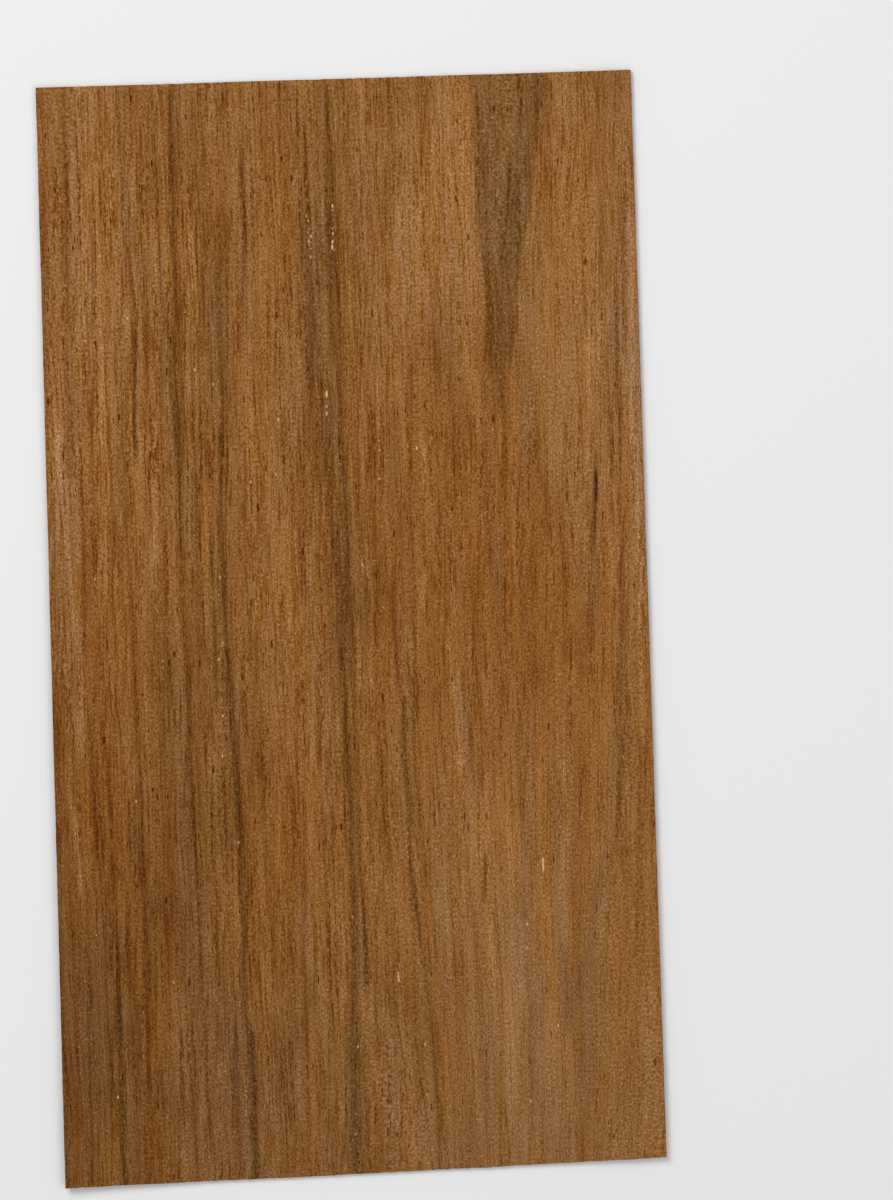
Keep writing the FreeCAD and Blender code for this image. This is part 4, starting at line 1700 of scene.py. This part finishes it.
@dataclass(frozen=True)
class Studio:
    """Pale floor, soft lamps, even sky and the camera that looks straight down on the leaf."""

    floor_reach: float = 6.0
    floor_sides: int = 96
    floor_gap: float = 0.02 * MM
    sky_share: float = 0.45
    backdrop: float = 0.87
    paper: PaperFinish = PaperFinish()
    lamps: tuple[Softbox, ...] = (
        Softbox("key_light", azimuth=-35.0, elevation=48.0, distance=1.3, size=0.7, share=0.38),
        Softbox("fill_light", azimuth=120.0, elevation=55.0, distance=1.5, size=1.1, share=0.17),
    )
    camera_x: float = 19.5 * MM
    camera_y: float = 5.2 * MM
    camera_height: float = 1.0
    frame_height: float = 0.240
    film_height: float = 24.0
    near_clip: float = 0.01
    roll: float = -1.73

    def lay_floor(self) -> bpy.types.Object:
        """Lays the floor just under the leaf.

        Returns:
            The floor's object.
        """
        bm = bmesh.new()
        bmesh.ops.create_circle(bm, cap_ends=True, segments=self.floor_sides, radius=self.floor_reach)
        bmesh.ops.translate(bm, verts=bm.verts[:], vec=(0, 0, -self.floor_gap))
        mesh = bpy.data.meshes.new("floor")
        bm.to_mesh(mesh)
        bm.free()
        mesh.materials.append(self.paper.build())
        floor = bpy.data.objects.new("floor", mesh)
        bpy.context.scene.collection.objects.link(floor)
        return floor

    def hang_sky(self) -> None:
        """Lights the scene evenly, and shows the camera a plain pale backdrop."""
        world = bpy.data.worlds.new("sky")
        world.use_nodes = True
        tree = world.node_tree
        tree.nodes.clear()
        rays = tree.nodes.new("ShaderNodeLightPath")
        lit = tree.nodes.new("ShaderNodeBackground")
        lit.inputs["Strength"].default_value = self.sky_share
        seen = tree.nodes.new("ShaderNodeBackground")
        seen.inputs["Strength"].default_value = self.backdrop
        choose = tree.nodes.new("ShaderNodeMixShader")
        output = tree.nodes.new("ShaderNodeOutputWorld")
        tree.links.new(rays.outputs["Is Camera Ray"], choose.inputs["Fac"])
        tree.links.new(lit.outputs["Background"], choose.inputs[1])
        tree.links.new(seen.outputs["Background"], choose.inputs[2])
        tree.links.new(choose.outputs["Shader"], output.inputs["Surface"])
        for node in (lit, seen):
            node.inputs["Color"].default_value = (1.0, 1.0, 1.0, 1.0)
        bpy.context.scene.world = world

    def set_camera(self) -> bpy.types.Object:
        """Sets the camera over the leaf, with the photograph's framing and slight roll.

        Returns:
            The camera's object.
        """
        lens = bpy.data.cameras.new("camera")
        lens.sensor_fit = "VERTICAL"
        lens.sensor_height = self.film_height
        lens.lens = self.film_height * self.camera_height / self.frame_height
        lens.clip_start = self.near_clip
        camera = bpy.data.objects.new("camera", lens)
        camera.location = (self.camera_x, self.camera_y, self.camera_height)
        camera.rotation_euler = (0.0, 0.0, math.radians(self.roll))
        bpy.context.scene.collection.objects.link(camera)
        bpy.context.scene.camera = camera
        return camera

    def build(self) -> None:
        """Sets up everything round the leaf."""
        self.lay_floor()
        self.hang_sky()
        for lamp in self.lamps:
            lamp.build(Vector((0.0, 0.0, 0.0)))
        self.set_camera()
        bpy.context.scene.view_settings.view_transform = "Standard"


def report(piece: bpy.types.Object) -> None:
    """Logs a piece's size and how many triangles it has.

    Args:
        piece: A finished piece.
    """
    triangles = sum(len(face.vertices) - 2 for face in piece.data.polygons)
    size = " x ".join(f"{length / MM:.2f}" for length in piece.dimensions)
    log.info("%s: %s mm, %d triangles", piece.name, size, triangles)


def main() -> None:
    """Builds the leaf and the studio, and reports each piece."""
    logging.basicConfig(level=logging.INFO, format="%(name)s: %(message)s")
    leaf = VeneerLeaf().build()
    Studio().build()
    bpy.context.view_layer.update()
    report(leaf)


if __name__ == "__main__":
    main()
